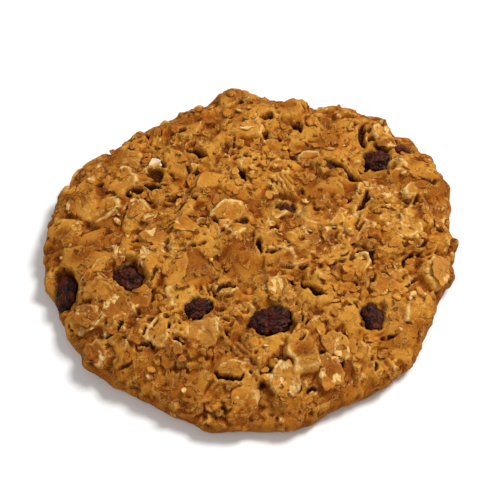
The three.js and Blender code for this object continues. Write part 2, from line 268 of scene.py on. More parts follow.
# %% Small and broken oats, between the large ones
SMALL_OATS = 300
SMALL_LENGTH = (2.4, 6.2)
SMALL_SHAPE = (0.5, 0.85)
SMALL_LIFT = (-0.6, 0.02)
SMALL_TILT = (2, 17)
SMALL_SPIRAL = 1.31
CALMEST_KEPT = 0.9


def drawn_turn(tilts):
    """A yaw, a tilt from this range, and the heading that the tilt dips towards, drawn by lot."""
    return chance.uniform(0, 360), chance.uniform(*tilts), chance.uniform(0, 360)


small_oats = []
for i in range(SMALL_OATS):
    area = LOWEST_OAT * (i + chance.uniform(0, 1)) / SMALL_OATS
    angle = i * GOLDEN_ANGLE * SMALL_SPIRAL + chance.uniform(-0.2, 0.2)
    length = chance.uniform(*SMALL_LENGTH)
    width = length * chance.uniform(*SMALL_SHAPE)
    outermost = (i / SMALL_OATS) ** FLAT_RIM_OATS
    yaw, tilt, down = drawn_turn(SMALL_TILT)
    tilt, lift = tilt * (1 - outermost), chance.uniform(*SMALL_LIFT) - RIM_OAT_SINK * outermost
    bare, tone = chance.uniform(0, 1), chance.uniform(-1, 1)
    small_oats.append(oat(area, angle, length, width, yaw, tilt, down, lift, bare, tone))
small_oats = [this for this in small_oats if chance.uniform(0, CALMEST_KEPT) > calm_at(*this.place[:2])]
print("small oats:", len(small_oats))

# %% [markdown]
# ## Two kinds of roughness
#
# Lattice noise gives each corner of a grid of cubes its own value and blends between them: a soft unevenness
# of one size. Cell noise gives each cube one point, and a place belongs to the nearest. Its cells lie
# against each other like broken flakes, and given a height and a slope of their own they become tilted
# plates. Every noise has a size in millimetres, and a key of its own that sets it apart from the others.

# %% Lattice noise, cell noise and plates


def scatter(cells, key):
    """A number from 0 to 1 for each whole-numbered cell, by mixing its three coordinates and a key."""
    mixed = (cells * np.array([73856093, 19349663, 83492791])).sum(-1) + key * 2654435761
    mixed = (mixed ^ (mixed >> 13)) * 1274126177 & 0xFFFFFFFF
    mixed = (mixed ^ (mixed >> 16)) * 2246822519 & 0xFFFFFFFF
    return ((mixed ^ (mixed >> 15)) & 0xFFFFFF) / 0xFFFFFF


def lattice(points, size, key):
    """From -1 to 1: the values of a cube's eight corners, blended by an S curve along each edge."""
    cell = np.floor(points / size).astype(np.int64)
    within = fade(points / size - cell, 0, 1)
    total = np.zeros(len(points))
    for corner in itertools.product((0, 1), repeat=3):
        weight = np.where(np.array(corner), within, 1 - within).prod(-1)
        total += weight * scatter(cell + np.array(corner), key)
    return 2 * total - 1


def layered(points, layers, least=-1):
    """The sum of lattice noises, none of them below its least, each layer with its height, size and key."""
    return sum(height * np.maximum(lattice(points, size, key), least) for height, size, key in layers)


def bent(points, size, reach, key):
    """The points moved up to this reach by three lattice noises, so that what is drawn on them is crooked."""
    return points + reach * np.stack([lattice(points, size, key + k) for k in range(3)], -1)


def cells(points, size, key):
    """The nearest and second nearest distance to one point in each cube, the way from it, and its cube."""
    cube = np.floor(points / size).astype(np.int64)
    within = points / size - cube
    nearest, second = np.full((2, len(points)), 9.0)
    away, owner = np.zeros((2, len(points), 3))
    for step in itertools.product((-1, 0, 1), repeat=3):
        other = cube + np.array(step)
        seed = np.stack([scatter(other, key + k) for k in range(3)], -1) + np.array(step)
        offset = within - seed
        distance = np.linalg.norm(offset, axis=-1)
        closer = distance < nearest
        second = np.minimum(second, np.where(closer, nearest, distance))
        nearest = np.where(closer, distance, nearest)
        away[closer], owner[closer] = offset[closer], other[closer]
    return nearest * size, second * size, away * size, owner.astype(np.int64)


def plates(points, size, key, step, slope):
    """The height of tilted plates, and how far in from its plate's edge each point lies. A plate has its own
    level, within step of the mean, and its own slope."""
    nearest, second, away, owner = cells(points, size, key)
    level = step * (2 * scatter(owner, key + 4) - 1)
    tilt = slope * (2 * np.stack([scatter(owner, key + 5 + k) for k in range(3)], -1) - 1)
    return level + (tilt * away).sum(-1), (second - nearest) / 2


# %% [markdown]
# ## The crust's grid
#
# A disc made of rings crowds its vertices in the middle. So the top is a square grid laid over the disc,
# each square ring becoming a round one, and every quad keeps about the same area. Its border carries on as
# strips down the side. The underside is plain, so its strips have a quarter of the vertices. They run in to
# one last vertex, which closes the surface.

# %% Lay out the grid
TOP_CELLS = 280
SIDE_ROWS = 10
UNDER_ROWS = 22
COARSER = 4


def disc_grid(cells):
    """A square grid's vertices as a disc's: how far out, from 0 to 1, and the direction."""
    a, b = np.meshgrid(np.linspace(-1, 1, cells + 1), np.linspace(-1, 1, cells + 1))
    wide = np.abs(a) >= np.abs(b)
    long_side, short_side = np.where(wide, a, b), np.where(wide, b, a)
    turn = np.pi / 4 * short_side / np.where(long_side == 0, 1, long_side)
    angle = np.where(wide, turn, np.pi / 2 - turn) + np.where(long_side < 0, np.pi, 0)
    return np.abs(long_side).ravel(), angle.ravel()


def grid_quads(numbers):
    """The quads of a grid of vertex numbers, facing up where columns run right and rows run away."""
    corners = numbers[:-1, :-1], numbers[:-1, 1:], numbers[1:, 1:], numbers[1:, :-1]
    return np.stack(corners, -1).reshape(-1, 4)


def border(numbers):
    """The border of a grid of vertex numbers, once round against the clock."""
    return np.concatenate([numbers[0, :-1], numbers[:-1, -1], numbers[-1, :0:-1], numbers[:0:-1, 0]])


def ringed(first, rows, sides):
    """Vertex numbers of rows of rings, the first number of each ring once more at its end."""
    numbers = first + np.arange(rows * sides).reshape(rows, sides)
    return np.hstack([numbers, numbers[:, :1]])


out, angle = disc_grid(TOP_CELLS)
top_numbers = np.arange(out.size).reshape(TOP_CELLS + 1, -1)
edge = border(top_numbers)
coarse_edge = edge[::COARSER]
side_areas = RIM_AREA + (FOOT_AREA - RIM_AREA) * np.arange(1, SIDE_ROWS + 1) / SIDE_ROWS
under_areas = FOOT_AREA + (1 - FOOT_AREA) * np.arange(1, UNDER_ROWS) / UNDER_ROWS
areas = np.concatenate([out**2 * RIM_AREA, np.repeat(side_areas, edge.size),
                        np.repeat(under_areas, coarse_edge.size), [1]])
angles = np.concatenate([angle, np.tile(angle[edge], SIDE_ROWS),
                         np.tile(angle[coarse_edge], UNDER_ROWS - 1), [0]])
side_numbers = np.vstack([np.append(edge, edge[0]), ringed(out.size, SIDE_ROWS, edge.size)])
under_numbers = ringed(out.size + SIDE_ROWS * edge.size, UNDER_ROWS - 1, coarse_edge.size)
fine, coarse = side_numbers[-1], under_numbers[0]
a, b, c, d, e = (fine[k : k + fine.size - COARSER : COARSER] for k in range(COARSER + 1))
f, g = coarse[:-1], coarse[1:]
crust_quads = np.vstack([grid_quads(top_numbers), grid_quads(side_numbers)[:, ::-1],
                         grid_quads(under_numbers)[:, ::-1]])
seam_corners = (a, f, b), (b, f, c), (c, f, g), (c, g, d), (d, g, e)
seam = np.concatenate([np.stack(corners, -1) for corners in seam_corners])
last_ring = under_numbers[-1]
crust_fan = np.stack([last_ring[1:], last_ring[:-1], np.full(coarse_edge.size, areas.size - 1)], -1)
crust_triangles = np.vstack([seam, crust_fan])
base, normals = skin(areas, angles)
print("crust vertices:", len(base))

# %% [markdown]
# ## The crust's relief
#
# Dough between the oats is a jumble of coated plates, in two sizes. Each oat lifts the skin above it to its
# own flat top, and the highest wins, so the oats overlap like shingles. A coated oat has a soft edge, and a
# bare one a crisp edge with a thin lip. Beside an oat's raised edge the dough has shrunk away and left a
# dark crescent. Then come chips of broken oats, packs of oats that stand on edge, crumbs, pits where steam
# broke out, the long cracks, and slits that are too fine for the solid.

# %% A jumble of plates
BROAD_PLATES = dict(size=4.6, key=101, step=0.34, slope=0.2)
SMALL_PLATES = dict(size=2.0, key=121, step=0.1, slope=0.18)
BROAD_GROOVE, SMALL_GROOVE = 0.9, 0.5
WILD_SIZE = 8
LEAST_WILD = 0.2
TAMER_SIDE, TAMER_WHEN_CALM = 0.6, 0.85
MEAN_LEVEL = -0.2
HUMPS = [(0.4, 9, 21), (0.25, 3.4, 13)]  # height, size and key
UNEVEN, ROUGH, CRUMBLE = (2.7, 10), (1.5, 11), (0.75, 12)  # size and key
uneven, rough, crumble = (lattice(base, *noise) for noise in (UNEVEN, ROUGH, CRUMBLE))
crooked = bent(base, size=2.1, reach=0.75, key=14)
broad, broad_rim = plates(crooked, **BROAD_PLATES)
small, small_rim = plates(crooked, **SMALL_PLATES)
wild = LEAST_WILD + (1 - LEAST_WILD) * fade(lattice(base, WILD_SIZE, key=20), -0.35, 0.3)
wild = wild * (1 - TAMER_SIDE * fade(areas, RIM_AREA * 0.8, RIM_AREA * 1.05))
calm = calm_at(base[:, 0], base[:, 1]) * (areas < RIM_AREA)
wild = wild * (1 - TAMER_WHEN_CALM * calm)
relief = MEAN_LEVEL + layered(base, HUMPS) + wild * (broad + small)
broad_gap = fade(broad_rim + 0.12 * rough, 0.25, 0.1) * fade(lattice(base, 4.3, key=15), 0.3, 0.45)
small_gap = fade(small_rim + 0.1 * crumble, 0.24, 0.08) * fade(lattice(base, 2.6, key=16), 0.3, 0.45)
groove = np.maximum(BROAD_GROOVE * broad_gap, SMALL_GROOVE * small_gap)
print("jumble, mm: %.2f to %.2f" % (relief.min(), relief.max()))

# %% Oats under the skin
SOFT_EDGE, CRISP_EDGE = 0.9, 2.3
SOFT_BLEND, CRISP_BLEND = 0.4, 0.1
CRISP_FROM = 0.6
LIP, LIP_AT, LIP_WIDTH = 0.18, 0.92, 0.12
FLAT_TOP, BULGE = 0.22, 0.14
HIGHEST_RISE = 1.4
RIM_CUT = 1.1
CORNERS, CORNER_DRIFT, CORNERS_OUT = 7, 0.3, (0.8, 1.04)
ROUNDEST = 0.9
CREVICE_SHARE = 0.28
CREVICE_DEPTH = (1.3, 2.5)
WIDEST_CREVICE = 0.8
SMOOTH_OATS = (0.1, 0.8)
oatness, tone, smooth, brim, painted_shade_and_stain = np.zeros((5, len(base)))


def press_up(this, crevice_share):
    """Raises the relief to an oat's flat top. Beyond a crooked outline the top falls away, steeply where the
    oat is bare, and a smooth maximum joins it to what lay there. Its lifted side may have a crevice."""
    near = np.flatnonzero(((base - this.place) ** 2).sum(-1) < (0.75 * this.length + 1.2) ** 2)
    x, y, z = ((base[near] - this.place) @ this.axes).T
    ex = x / (this.length / 2)
    ey = y / (this.width / 2) / np.maximum(1 + OAT_TAPER * ex, 0.4)
    turns = np.arange(CORNERS) + chance.uniform(-CORNER_DRIFT, CORNER_DRIFT, CORNERS)
    turns = 2 * np.pi * turns / CORNERS
    sides = np.outer(ex, np.cos(turns)) + np.outer(ey, np.sin(turns))
    sides = sides / chance.uniform(*CORNERS_OUT, CORNERS)
    oval = np.maximum(sides.max(-1), ROUNDEST * np.hypot(ex, ey))
    oval = oval * (1 + 0.18 * uneven[near] + 0.1 * rough[near] + 0.03 * crumble[near])
    beyond = np.maximum(oval - 1, 0) * (this.length + this.width) / 4
    side = (x * this.lifted[0] + y * this.lifted[1]) / np.maximum(np.hypot(x, y), 1e-6)
    crisp = fade(this.bare, CRISP_FROM - 0.35, CRISP_FROM + 0.1)
    slope = np.interp(crisp, (0, 1), (SOFT_EDGE, CRISP_EDGE))
    blend = np.interp(crisp, (0, 1), (SOFT_BLEND, CRISP_BLEND))
    lip = LIP * crisp * np.exp(-(((oval - LIP_AT) / LIP_WIDTH) ** 2)) * fade(side, -0.2, 0.6)
    top = OAT_THICKNESS * (FLAT_TOP + BULGE * (1 - np.minimum(oval, 1) ** 3)) + lip - slope * beyond
    rise = np.minimum(top - z, HIGHEST_RISE - RIM_CUT * fade(areas[near], RIM_AREA * 0.8, RIM_AREA))
    gain = rise - relief[near]
    held = fade(gain, -0.1, 0.1) * fade(oval, 1.06, 0.94)
    relief[near] = np.maximum(rise, relief[near]) + np.maximum(blend - np.abs(gain), 0) ** 2 / (4 * blend)
    oatness[near] += held * (this.bare - oatness[near])
    tone[near] += held * (this.tone - tone[near])
    smooth[near] += held * (chance.uniform(*SMOOTH_OATS) - smooth[near])
    groove[near] *= 1 - held
    brim[near] += held * (fade(lip, 0.03, 0.12) - brim[near])
    if chance.uniform() < crevice_share:
        gap = min(0.12 * this.length, WIDEST_CREVICE) * chance.uniform(0.6, 1.1)
        depth = chance.uniform(*CREVICE_DEPTH)
        ragged = gap * (1 + 0.7 * rough[near])
        slot = fade(beyond, 0.0, 0.2) * fade(beyond, ragged + 0.3, ragged)
        slot *= fade(side + 0.25 * uneven[near], 0.5, 0.75)
        slot *= fade(rough[near] + 0.7 * crumble[near], -0.4, 0.15)
        groove[near] = np.maximum(groove[near], depth * slot)


for this in coated_oats + large_oats + small_oats:
    press_up(this, CREVICE_SHARE)
print("relief, mm: %.2f to %.2f" % (relief.min(), relief.max()))

# %% Chips of broken oats, lying on all that
CHIP_LENGTH = (1.3, 3.2)
CHIP_SHAPE = (0.4, 0.8)
CHIP_CREVICE_SHARE = 0.3
CHIPS, CHIP_TILT, CHIP_SINK = 620, (4, 26), (0.2, 0.5)
SIDE_CHIPS, SIDE_CHIP_TILT, SIDE_CHIP_SINK = 130, (0, 10), (0.05, 0.3)


def strew_chips(seats, count, tilts, sinks):
    """Presses up this many chips at vertices drawn by lot from the seats."""
    for seat in chance.choice(seats, count, replace=False):
        length = chance.uniform(*CHIP_LENGTH)
        turn = drawn_turn(tilts)
        lift = relief[seat] - chance.uniform(*sinks)
        width = length * chance.uniform(*CHIP_SHAPE)
        drawn = chance.uniform(0, 1), chance.uniform(-1, 1)
        press_up(oat(areas[seat], angles[seat], length, width, *turn, lift, *drawn), CHIP_CREVICE_SHARE)


chip_seats = (areas < RIM_AREA * 0.86) & (wild > chance.uniform(0.1, 1.0, len(base))) & (oatness < CRISP_FROM)
strew_chips(np.flatnonzero(chip_seats), CHIPS, CHIP_TILT, CHIP_SINK)
side_seats = (areas > RIM_AREA * 0.9) & (areas < FOOT_AREA) & (base[:, 2] > 0.8)
strew_chips(np.flatnonzero(side_seats), SIDE_CHIPS, SIDE_CHIP_TILT, SIDE_CHIP_SINK)
print("chips:", CHIPS + SIDE_CHIPS)

# %% Oats on edge
PACKS = [
    (6.5, 13.0, 6.5, 4.6, 122), (-16.5, 1.5, 4.6, 3.2, 35), (-2.0, -26.5, 4.8, 3.2, 140),
]  # x, y, length, width, yaw
LEAF = 1.0
LEAF_HEIGHT, LEAF_CROOKED = 0.3, 0.45
PACK_LEVEL, PACK_FLATTENED, PACK_SMOOTH, PACK_PAINTED_SHADE = 0.3, 0.8, 0.8, 0.5


def laid(x, y, reach, yaw):
    """The vertices within reach of a place in plan, and how far along, across and above it they lie."""
    at = oat(area_over(x, y), np.arctan2(y, x), 1, 1, yaw, 0, 0, 0, 0, 0)
    near = np.flatnonzero(((base - at.place) ** 2).sum(-1) < reach**2)
    return near, *((base[near] - at.place) @ at.axes).T


for x, y, length, width, yaw in PACKS:
    near, along, across, _ = laid(x, y, length, yaw)
    oval = np.hypot(along / (length / 2), across / (width / 2)) * (1 + 0.12 * rough[near])
    leaves = np.cos(2 * np.pi * (across + LEAF_CROOKED * rough[near] + 0.1 * along) / LEAF)
    held = fade(oval, 1.1, 0.85)
    relief[near] += held * (LEAF_HEIGHT * leaves - PACK_FLATTENED * (relief[near] - PACK_LEVEL))
    groove[near] *= 1 - held
    # painted shade in the valleys between the oats on edge
    painted_shade_and_stain[near] = np.maximum(painted_shade_and_stain[near], PACK_PAINTED_SHADE * held * fade(leaves, -0.5, -0.95))
    smooth[near] += held * (PACK_SMOOTH - smooth[near])
print("packs of oats on edge:", len(PACKS))

# %% Crumbs and pits
CRUMB_SIZE, CRUMB_HEIGHT = 1.2, 0.11
CRINKLE_SIZE, CRINKLE_HEIGHT = 1.15, 0.07
PIT_SPACING, PIT_DEPTH, PIT_WIDTH = 2.1, 0.55, 0.28
PITLESS = 0.6
LEAST_GRAIN = 0.35
SMOOTH_GRAIN, SMOOTH_PITS, CALM_PITS = 0.7, 0.6, 0.7
crumbs_near = cells(bent(base, size=0.9, reach=0.25, key=17), CRUMB_SIZE, key=31)[0]
crinkle = 1 - 2 * np.abs(lattice(bent(base, size=1.6, reach=0.5, key=18), CRINKLE_SIZE, key=19))
grain = CRUMB_HEIGHT * (0.6 - crumbs_near**2) + CRINKLE_HEIGHT * crinkle
grain = grain * (LEAST_GRAIN + (1 - LEAST_GRAIN) * wild)
relief += grain * (1 - SMOOTH_GRAIN * smooth)
torn = 1.6 * grain + 0.6 * broad + small + 0.15 * crumble
_, _, away, owner = cells(bent(base, size=1.3, reach=0.3, key=48), PIT_SPACING, key=41)
heading = 2 * np.pi * scatter(owner, 45)
along = away[:, 0] * np.cos(heading) + away[:, 1] * np.sin(heading)
across = away[:, 1] * np.cos(heading) - away[:, 0] * np.sin(heading)
pit_length = 0.3 + 0.6 * scatter(owner, 46) ** 2
pits = (scatter(owner, 47) > PITLESS) * fade(np.hypot(along / pit_length, across / PIT_WIDTH), 1.4, 0.5)
groove = np.maximum(groove, PIT_DEPTH * pits * (1 - SMOOTH_PITS * smooth) * (1 - CALM_PITS * calm))
print("crumb height, mm: %.2f" % (grain.max() - grain.min()))

# %% Cracks and slits
CRACKS = [
    (-11.8, 21.8, 6.6, 1.5, 3.2, 318, 0.6), (-20.8, 14.2, 4.6, 1.9, 3.4, 8, -0.8),
    (24.6, 28.4, 8.2, 1.3, 3.0, 84, 1.2), (21.2, 15.6, 4.6, 1.2, 3.0, 325, 0.3),
    (22.8, 9.0, 6.4, 1.1, 3.0, 72, -0.7), (-13.6, 7.6, 6.8, 1.3, 2.8, 48, 0.9),
    (-24.4, 11.4, 4.8, 1.3, 2.8, 12, 0.8), (9.6, 29.6, 4.0, 1.1, 2.6, 304, 0.3),
    (-2.4, 15.5, 4.6, 1.2, 2.8, 295, 0.4), (-5.4, -13.2, 6.0, 1.2, 2.8, 20, 1.0),
    (12.4, -12.6, 6.4, 1.2, 2.8, 335, -0.9), (-28.0, -20.6, 6.4, 1.3, 2.8, 230, 1.0),
    (-4.6, -31.6, 6.8, 1.2, 2.6, 350, -1.1), (32.4, -4.6, 5.2, 1.1, 2.6, 60, 0.7),
]  # x, y, length, width, depth, yaw, bow
SLITS = [
    (-15.0, 29.0, 2.0, 1.1, 2.0, 0, 0.1), (-20.5, 16.9, 3.8, 3.0, 2.4, 0, 0.0),
    (-22.6, 18.8, 2.0, 0.9, 1.8, 60, 0.0), (-18.7, 18.7, 2.2, 0.9, 1.8, 300, 0.0),
    (-18.4, 13.7, 3.2, 0.7, 1.6, 310, 0.0), (-25.4, 7.4, 2.8, 0.5, 1.4, 80, 0.3),
    (-11.8, 17.0, 2.2, 0.8, 1.6, 20, 0.0), (6.3, 26.4, 2.0, 0.6, 1.4, 290, 0.0),
    (7.2, 23.4, 2.8, 0.6, 1.4, 300, 0.1), (8.6, 21.2, 1.8, 0.5, 1.2, 300, 0.0),
    (17.4, 18.2, 7.0, 2.2, 3.0, 333, 0.2), (23.6, 18.8, 2.0, 1.5, 2.4, 45, 0.0),
    (22.5, 7.2, 2.0, 1.2, 2.0, 80, 0.0), (22.0, 3.0, 4.4, 0.6, 1.6, 80, 0.1),
    (-1.8, 3.2, 2.6, 1.6, 1.6, 30, 0.0), (6.8, 7.0, 4.6, 1.8, 1.8, 350, 0.1),
    (10.5, 11.3, 2.0, 0.6, 1.2, 320, 0.0), (34.6, 10.5, 1.8, 0.7, 1.2, 290, 0.0),
    (-5.8, 20.4, 1.8, 0.5, 1.2, 0, 0.0), (-3.2, 20.1, 1.8, 0.5, 1.2, 10, 0.0),
    (-1.0, 20.6, 1.8, 0.5, 1.2, 350, 0.0), (4.8, 13.6, 3.2, 0.6, 1.4, 305, 0.1),
    (-31.5, 13.6, 2.0, 0.6, 1.2, 40, 0.0),
]  # the same, for cracks too fine for the solid
CRACK_DEPTH_SHARE = 0.85
CRACK_PAINTED_SHADE = 0.8
NARROWEST_CRACK = 0.05
GROOVES_ON_SIDE = 0.4
for x, y, length, width, depth, yaw, bow in CRACKS + SLITS:
    near, along, across, _ = laid(x, y, length, yaw)
    crescent = 1 - (2 * along / length) ** 2
    wide = np.maximum(width / 2 * crescent, NARROWEST_CRACK) * (1 + 0.5 * crumble[near] + 0.3 * rough[near])
    crooked_by = 0.5 * rough[near] + 0.35 * crumble[near]
    inside = fade(np.abs(across - bow * crescent + crooked_by) / wide, 1.35, 0.55) * fade(crescent, 0, 0.25)
    groove[near] = np.maximum(groove[near], CRACK_DEPTH_SHARE * depth * inside)
    # cracks and slits are painted dark as shade as well as cut
    painted_shade_and_stain[near] = np.maximum(painted_shade_and_stain[near], CRACK_PAINTED_SHADE * fade(inside, 0.2, 0.9))
on_top = np.maximum(fade(areas, RIM_AREA, RIM_AREA * 0.93), GROOVES_ON_SIDE * fade(base[:, 2], 0.7, 1.5))
relief -= groove * on_top
print("deepest crack, mm: %.2f" % groove.max())

# %% [markdown]
# ## Raisins and their pockets
#
# A raisin in the solid is an ellipsoid. Its three directions and half sizes come back from its vertices:
# they are the axes along which its points spread most, and points spread evenly over an ellipsoid have a
# variance of a third of the square of its half size. A raisin's skin shrank in folds: round backs with sharp
# valleys between, running mostly along it. The zero lines of a lattice noise become the valleys.

# %% Measure the raisins
Raisin = namedtuple("Raisin", "node middle axes half key shown redness")
FOLDS = [(3.6, 0.6), (1.9, 0.7), (1.1, 0.45), (0.6, 0.3)]  # width of the folds and how deep their valleys go
FOLDS_DRAWN_OUT = 0.72
SHOWN = [0.8, 0.65, 0.78, 0.5, 0.52, 0.62, 0.45, 0.1, 0.12]  # how much of each raisin stands out of the dough
REDNESS = [0, 0, 0, 0, 0, 0, 1, -1, -1]  # 1 where a raisin's skin is thin, -1 where dough has stained it


def measure(node):
    """The middle, directions (longest first) and half sizes of a raisin's solid, in mm."""
    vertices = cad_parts[node].data.vertices
    points = np.empty(len(vertices) * 3, np.float32)
    vertices.foreach_get("co", points)
    points = np.unique(np.round(points.reshape(-1, 3) / MM, 3), axis=0) + OFF_CENTRE
    spread, axes = np.linalg.eigh(np.cov(points.T))
    axes = axes[:, ::-1].copy()
    axes[:, 2] *= np.sign(axes[2, 2])
    axes[:, 1] = np.cross(axes[:, 2], axes[:, 0])
    number = int(node.split("_")[1])
    half = np.sqrt(3 * spread[::-1])
    return Raisin(node, points.mean(0), axes, half, 200 + 40 * number, SHOWN[number - 1], REDNESS[number - 1])


def fold_depth(on_ellipsoid, key):
    """How far the skin lies in from the ellipsoid at these of its points: valleys run along the zero lines of
    lattice noises, one for each width of fold, and along the raisin more than across it."""
    drawn_out = on_ellipsoid * np.array([FOLDS_DRAWN_OUT, 1, 1])
    depth = np.zeros(len(on_ellipsoid))
    for i, (width, deepest) in enumerate(FOLDS):
        crooked = bent(drawn_out, width, 0.35 * width, key + 10 * i)
        depth += deepest * (1 - np.abs(lattice(crooked, width, key + 10 * i + 5)) ** 0.6) ** 2
    return depth


def inside_of(this, local):
    """How far inside a folded raisin these points lie, given in its own directions: its reach towards each
    point less the point's own distance."""
    on_ellipsoid = local / np.maximum(np.linalg.norm(local / this.half, axis=1), 1e-6)[:, None]
    reach = np.linalg.norm(on_ellipsoid, axis=1) - fold_depth(on_ellipsoid, this.key)
    return reach - np.linalg.norm(local, axis=1)


raisins = [measure(node) for node in sorted(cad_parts) if node.startswith("raisin_")]
print("raisins, mm long:", {this.node: round(float(2 * this.half[0]), 1) for this in raisins})

# %% [markdown]
# Round a raisin that stands out, the dough sank to an uneven dish and swelled to a low lip. Where the raisin
# is clear of the crust, the dough under it is pressed down into a pocket, with a dark gap on one side. A
# raisin that hardly shows is covered by dough that flowed over its shoulder. The pocket is painted dark as
# shade, and the dough round the raisin darker, partly a stain and partly painted shade.

# %% Press the pockets
CLEAR = 0.35
COVER = 0.2
DISH_EDGE = (1.45, 1.0)
SHOULDER, SHOULDER_AT, SHOULDER_WIDTH = 0.2, 0.7, 0.5  # the low lip: height, how far above the raisin, width
FLOW, FLOW_AT, FLOW_WIDTH = 0.6, 0.1, 0.6  # the same for dough that flowed up to the raisin
FLOW_SIZE = 2.4
POCKET_GAP = 0.22
POCKET_REACH = 1.1
GAP_BESIDE = (0.02, 0.4)
STAIN_AND_SHADE = 0.6
FLOOR_UNDER_RAISINS = 0.9


def press_pocket(this):
    """Lays the dough's surface low enough for the raisin's crown to show, or flows it over a raisin that
    hardly shows. Then it drops the surface, wherever it would run inside the raisin, to under it, and leaves
    a dark gap on the side of the raisin's own heading."""
    near = np.flatnonzero(((base - this.middle) ** 2).sum(-1) < (1.8 * this.half[0]) ** 2)
    x, y, z = ((base[near] - this.middle) @ this.axes).T
    a, b, c = this.half
    oval = np.minimum(np.hypot(x / a, y / b), 1.6)
    crown = np.where(oval < 1, c * np.sqrt(np.maximum(1 - oval**2, 0)), -3 * c * (oval - 1))
    waist = c * (1 - 1.5 * this.shown) + 0.3 * rough[near]
    dish = waist + fade(oval, 1, 0.85) * np.minimum(crown - CLEAR - waist, 0) - z + torn[near]
    in_dish = fade(oval + 0.25 * uneven[near], *DISH_EDGE)
    relief[near] += in_dish * (np.minimum(dish, relief[near]) - relief[near])
    over = crown + COVER + 0.2 * rough[near] - z - (groove * on_top)[near]
    relief[near] += fade(this.shown, 0.3, 0.15) * fade(oval, 1.1, 0.9) * np.maximum(over - relief[near], 0)
    clear = crown - (z + relief[near]) + 0.35 * rough[near] + 0.15 * crumble[near]
    shoulder = np.exp(-(((clear + SHOULDER_AT) / SHOULDER_WIDTH) ** 2)) * fade(oval, 1.5, 1.2)
    flow = np.exp(-(((clear + FLOW_AT) / FLOW_WIDTH) ** 2)) * fade(oval, 1.4, 1.1)
    flow *= fade(lattice(base[near], FLOW_SIZE, key=71), -0.1, 0.4)
    relief[near] += SHOULDER * shoulder + FLOW * (1 - this.shown) * flow
    surface = base[near] + normals[near] * relief[near][:, None]
    heading = 2 * np.pi * scatter(np.array([this.key, 0, 0]), 3)
    side = (x * np.cos(heading) + y * np.sin(heading)) / np.maximum(np.hypot(x, y), 1e-6)
    gap = np.interp(fade(side + 0.3 * uneven[near], 0.2, 0.9), (0, 1), GAP_BESIDE) * (1 + 0.5 * crumble[near])
    within = inside_of(this, (surface - this.middle) @ this.axes) + gap
    always = fade(oval, 0.75, 0.6) * fade(clear, -0.25, 0.1) * fade(this.shown, 0.15, 0.45)
    bare = np.maximum(fade(within, -0.1, 0.08), always)
    bare *= fade(base[near, 2], FLOOR_UNDER_RAISINS, 2 * FLOOR_UNDER_RAISINS)
    least = (FLOOR_UNDER_RAISINS - base[near, 2]) / np.maximum(normals[near, 2], 0.3)
    under = -c * np.sqrt(np.maximum(1 - (oval / POCKET_REACH) ** 2, 0)) - POCKET_GAP - z
    relief[near] += bare * (np.minimum(np.maximum(under, least), relief[near]) - relief[near])
    # painted shade in the pocket, and round it partly a stain and partly painted shade
    painted_shade_and_stain[near] = np.maximum(painted_shade_and_stain[near], np.maximum(bare, STAIN_AND_SHADE * fade(within, -1.1 + 0.5 * rough[near], 0)))


for this in raisins:
    press_pocket(this)
print("lowest in a pocket, mm: %.2f" % relief.min())

# %% [markdown]
# Dough softens before it sets, so the sharpest edges are eased. The underside was baked against a tray: flat,
# with shallow blisters where air and fat lay under it, and nothing there reaches below the table. The
# finishes are given how deep each place lies under its surroundings, whether it is on a ridge, and how far it
# stands out, and paint shade into low places and light onto ridges and raised places.

# %% Finish the crust's surface
CEILING = 12.1
SOFTNESS = 4
SETTLE_ROUNDS = 1
CLOSE_ROUNDS, EASE_ROUNDS, BROAD_ROUNDS = 7, 40, 300
FULL_HOLLOW, FULL_RIDGE, FULL_STAND = 1.1, 0.22, 0.5
BLISTERS = [(0.3, 4.5, 51), (0.15, 2.6, 52)]  # height, size and key


def eased(values, edges, rounds):
    """Each vertex's value drawn halfway to the mean of its neighbours', again and again."""
    a, b = edges.T
    count = np.bincount(a, minlength=len(values)) + np.bincount(b, minlength=len(values))
    for _ in range(rounds):
        total = np.bincount(a, values[b], len(values)) + np.bincount(b, values[a], len(values))
        values = (values + total / np.maximum(count, 1)) / 2
    return values


def under_ceiling(points, ceiling):
    """The points, with heights near and over the ceiling eased down to it by a soft minimum."""
    low = points.copy()
    low[..., 2] -= np.logaddexp(0, (low[..., 2] - ceiling) * SOFTNESS) / SOFTNESS
    return low


quad_edges = np.sort(np.vstack([crust_quads[:, [0, 1]], crust_quads[:, [1, 2]], crust_quads[:, [2, 3]]]), 1)
quad_edges = np.unique(quad_edges, axis=0)
quad_edges = quad_edges[quad_edges[:, 0] != quad_edges[:, 1]]
relief = eased(relief, quad_edges, SETTLE_ROUNDS)
above_table = fade(base[:, 2], 0.2, 2.6)
points = under_ceiling(base + normals * (relief * above_table)[:, None], CEILING)
under = areas >= FOOT_AREA
blister = layered(base, BLISTERS, least=0) * fade(areas, FOOT_AREA, FOOT_AREA + 0.02)
points[:, 2] = np.where(under, blister, np.maximum(points[:, 2], 0))
close_level, level, broad_level = (eased(relief, quad_edges, rounds)
                                   for rounds in (CLOSE_ROUNDS, EASE_ROUNDS, BROAD_ROUNDS))
# hollow, ridge and stand carry painted shade in low places and painted light on ridges and raised places
hollow = np.clip((level - relief) / FULL_HOLLOW, 0, 1)
ridge = np.clip((relief - close_level) / FULL_RIDGE, -1, 1)
stand = np.clip((close_level - broad_level) / FULL_STAND, -1, 1)
toast = np.maximum(fade(areas, RIM_AREA * 0.9, RIM_AREA * 1.02), under)
print("lowest %.2f, highest %.2f mm" % (points[:, 2].min(), points[:, 2].max()))

# %% [markdown]
# ## From arrays to pieces
#
# One function turns arrays of points and faces into a piece that rides on the cookie's body. Values that the
# finishes read, such as how deep a place lies, go along as attributes of the vertices.

# %% Make the crust


def placed(name, data):
    """A new object in the scene, at the origin."""
    made = bpy.data.objects.new(name, data)
    bpy.context.scene.collection.objects.link(made)
    return made


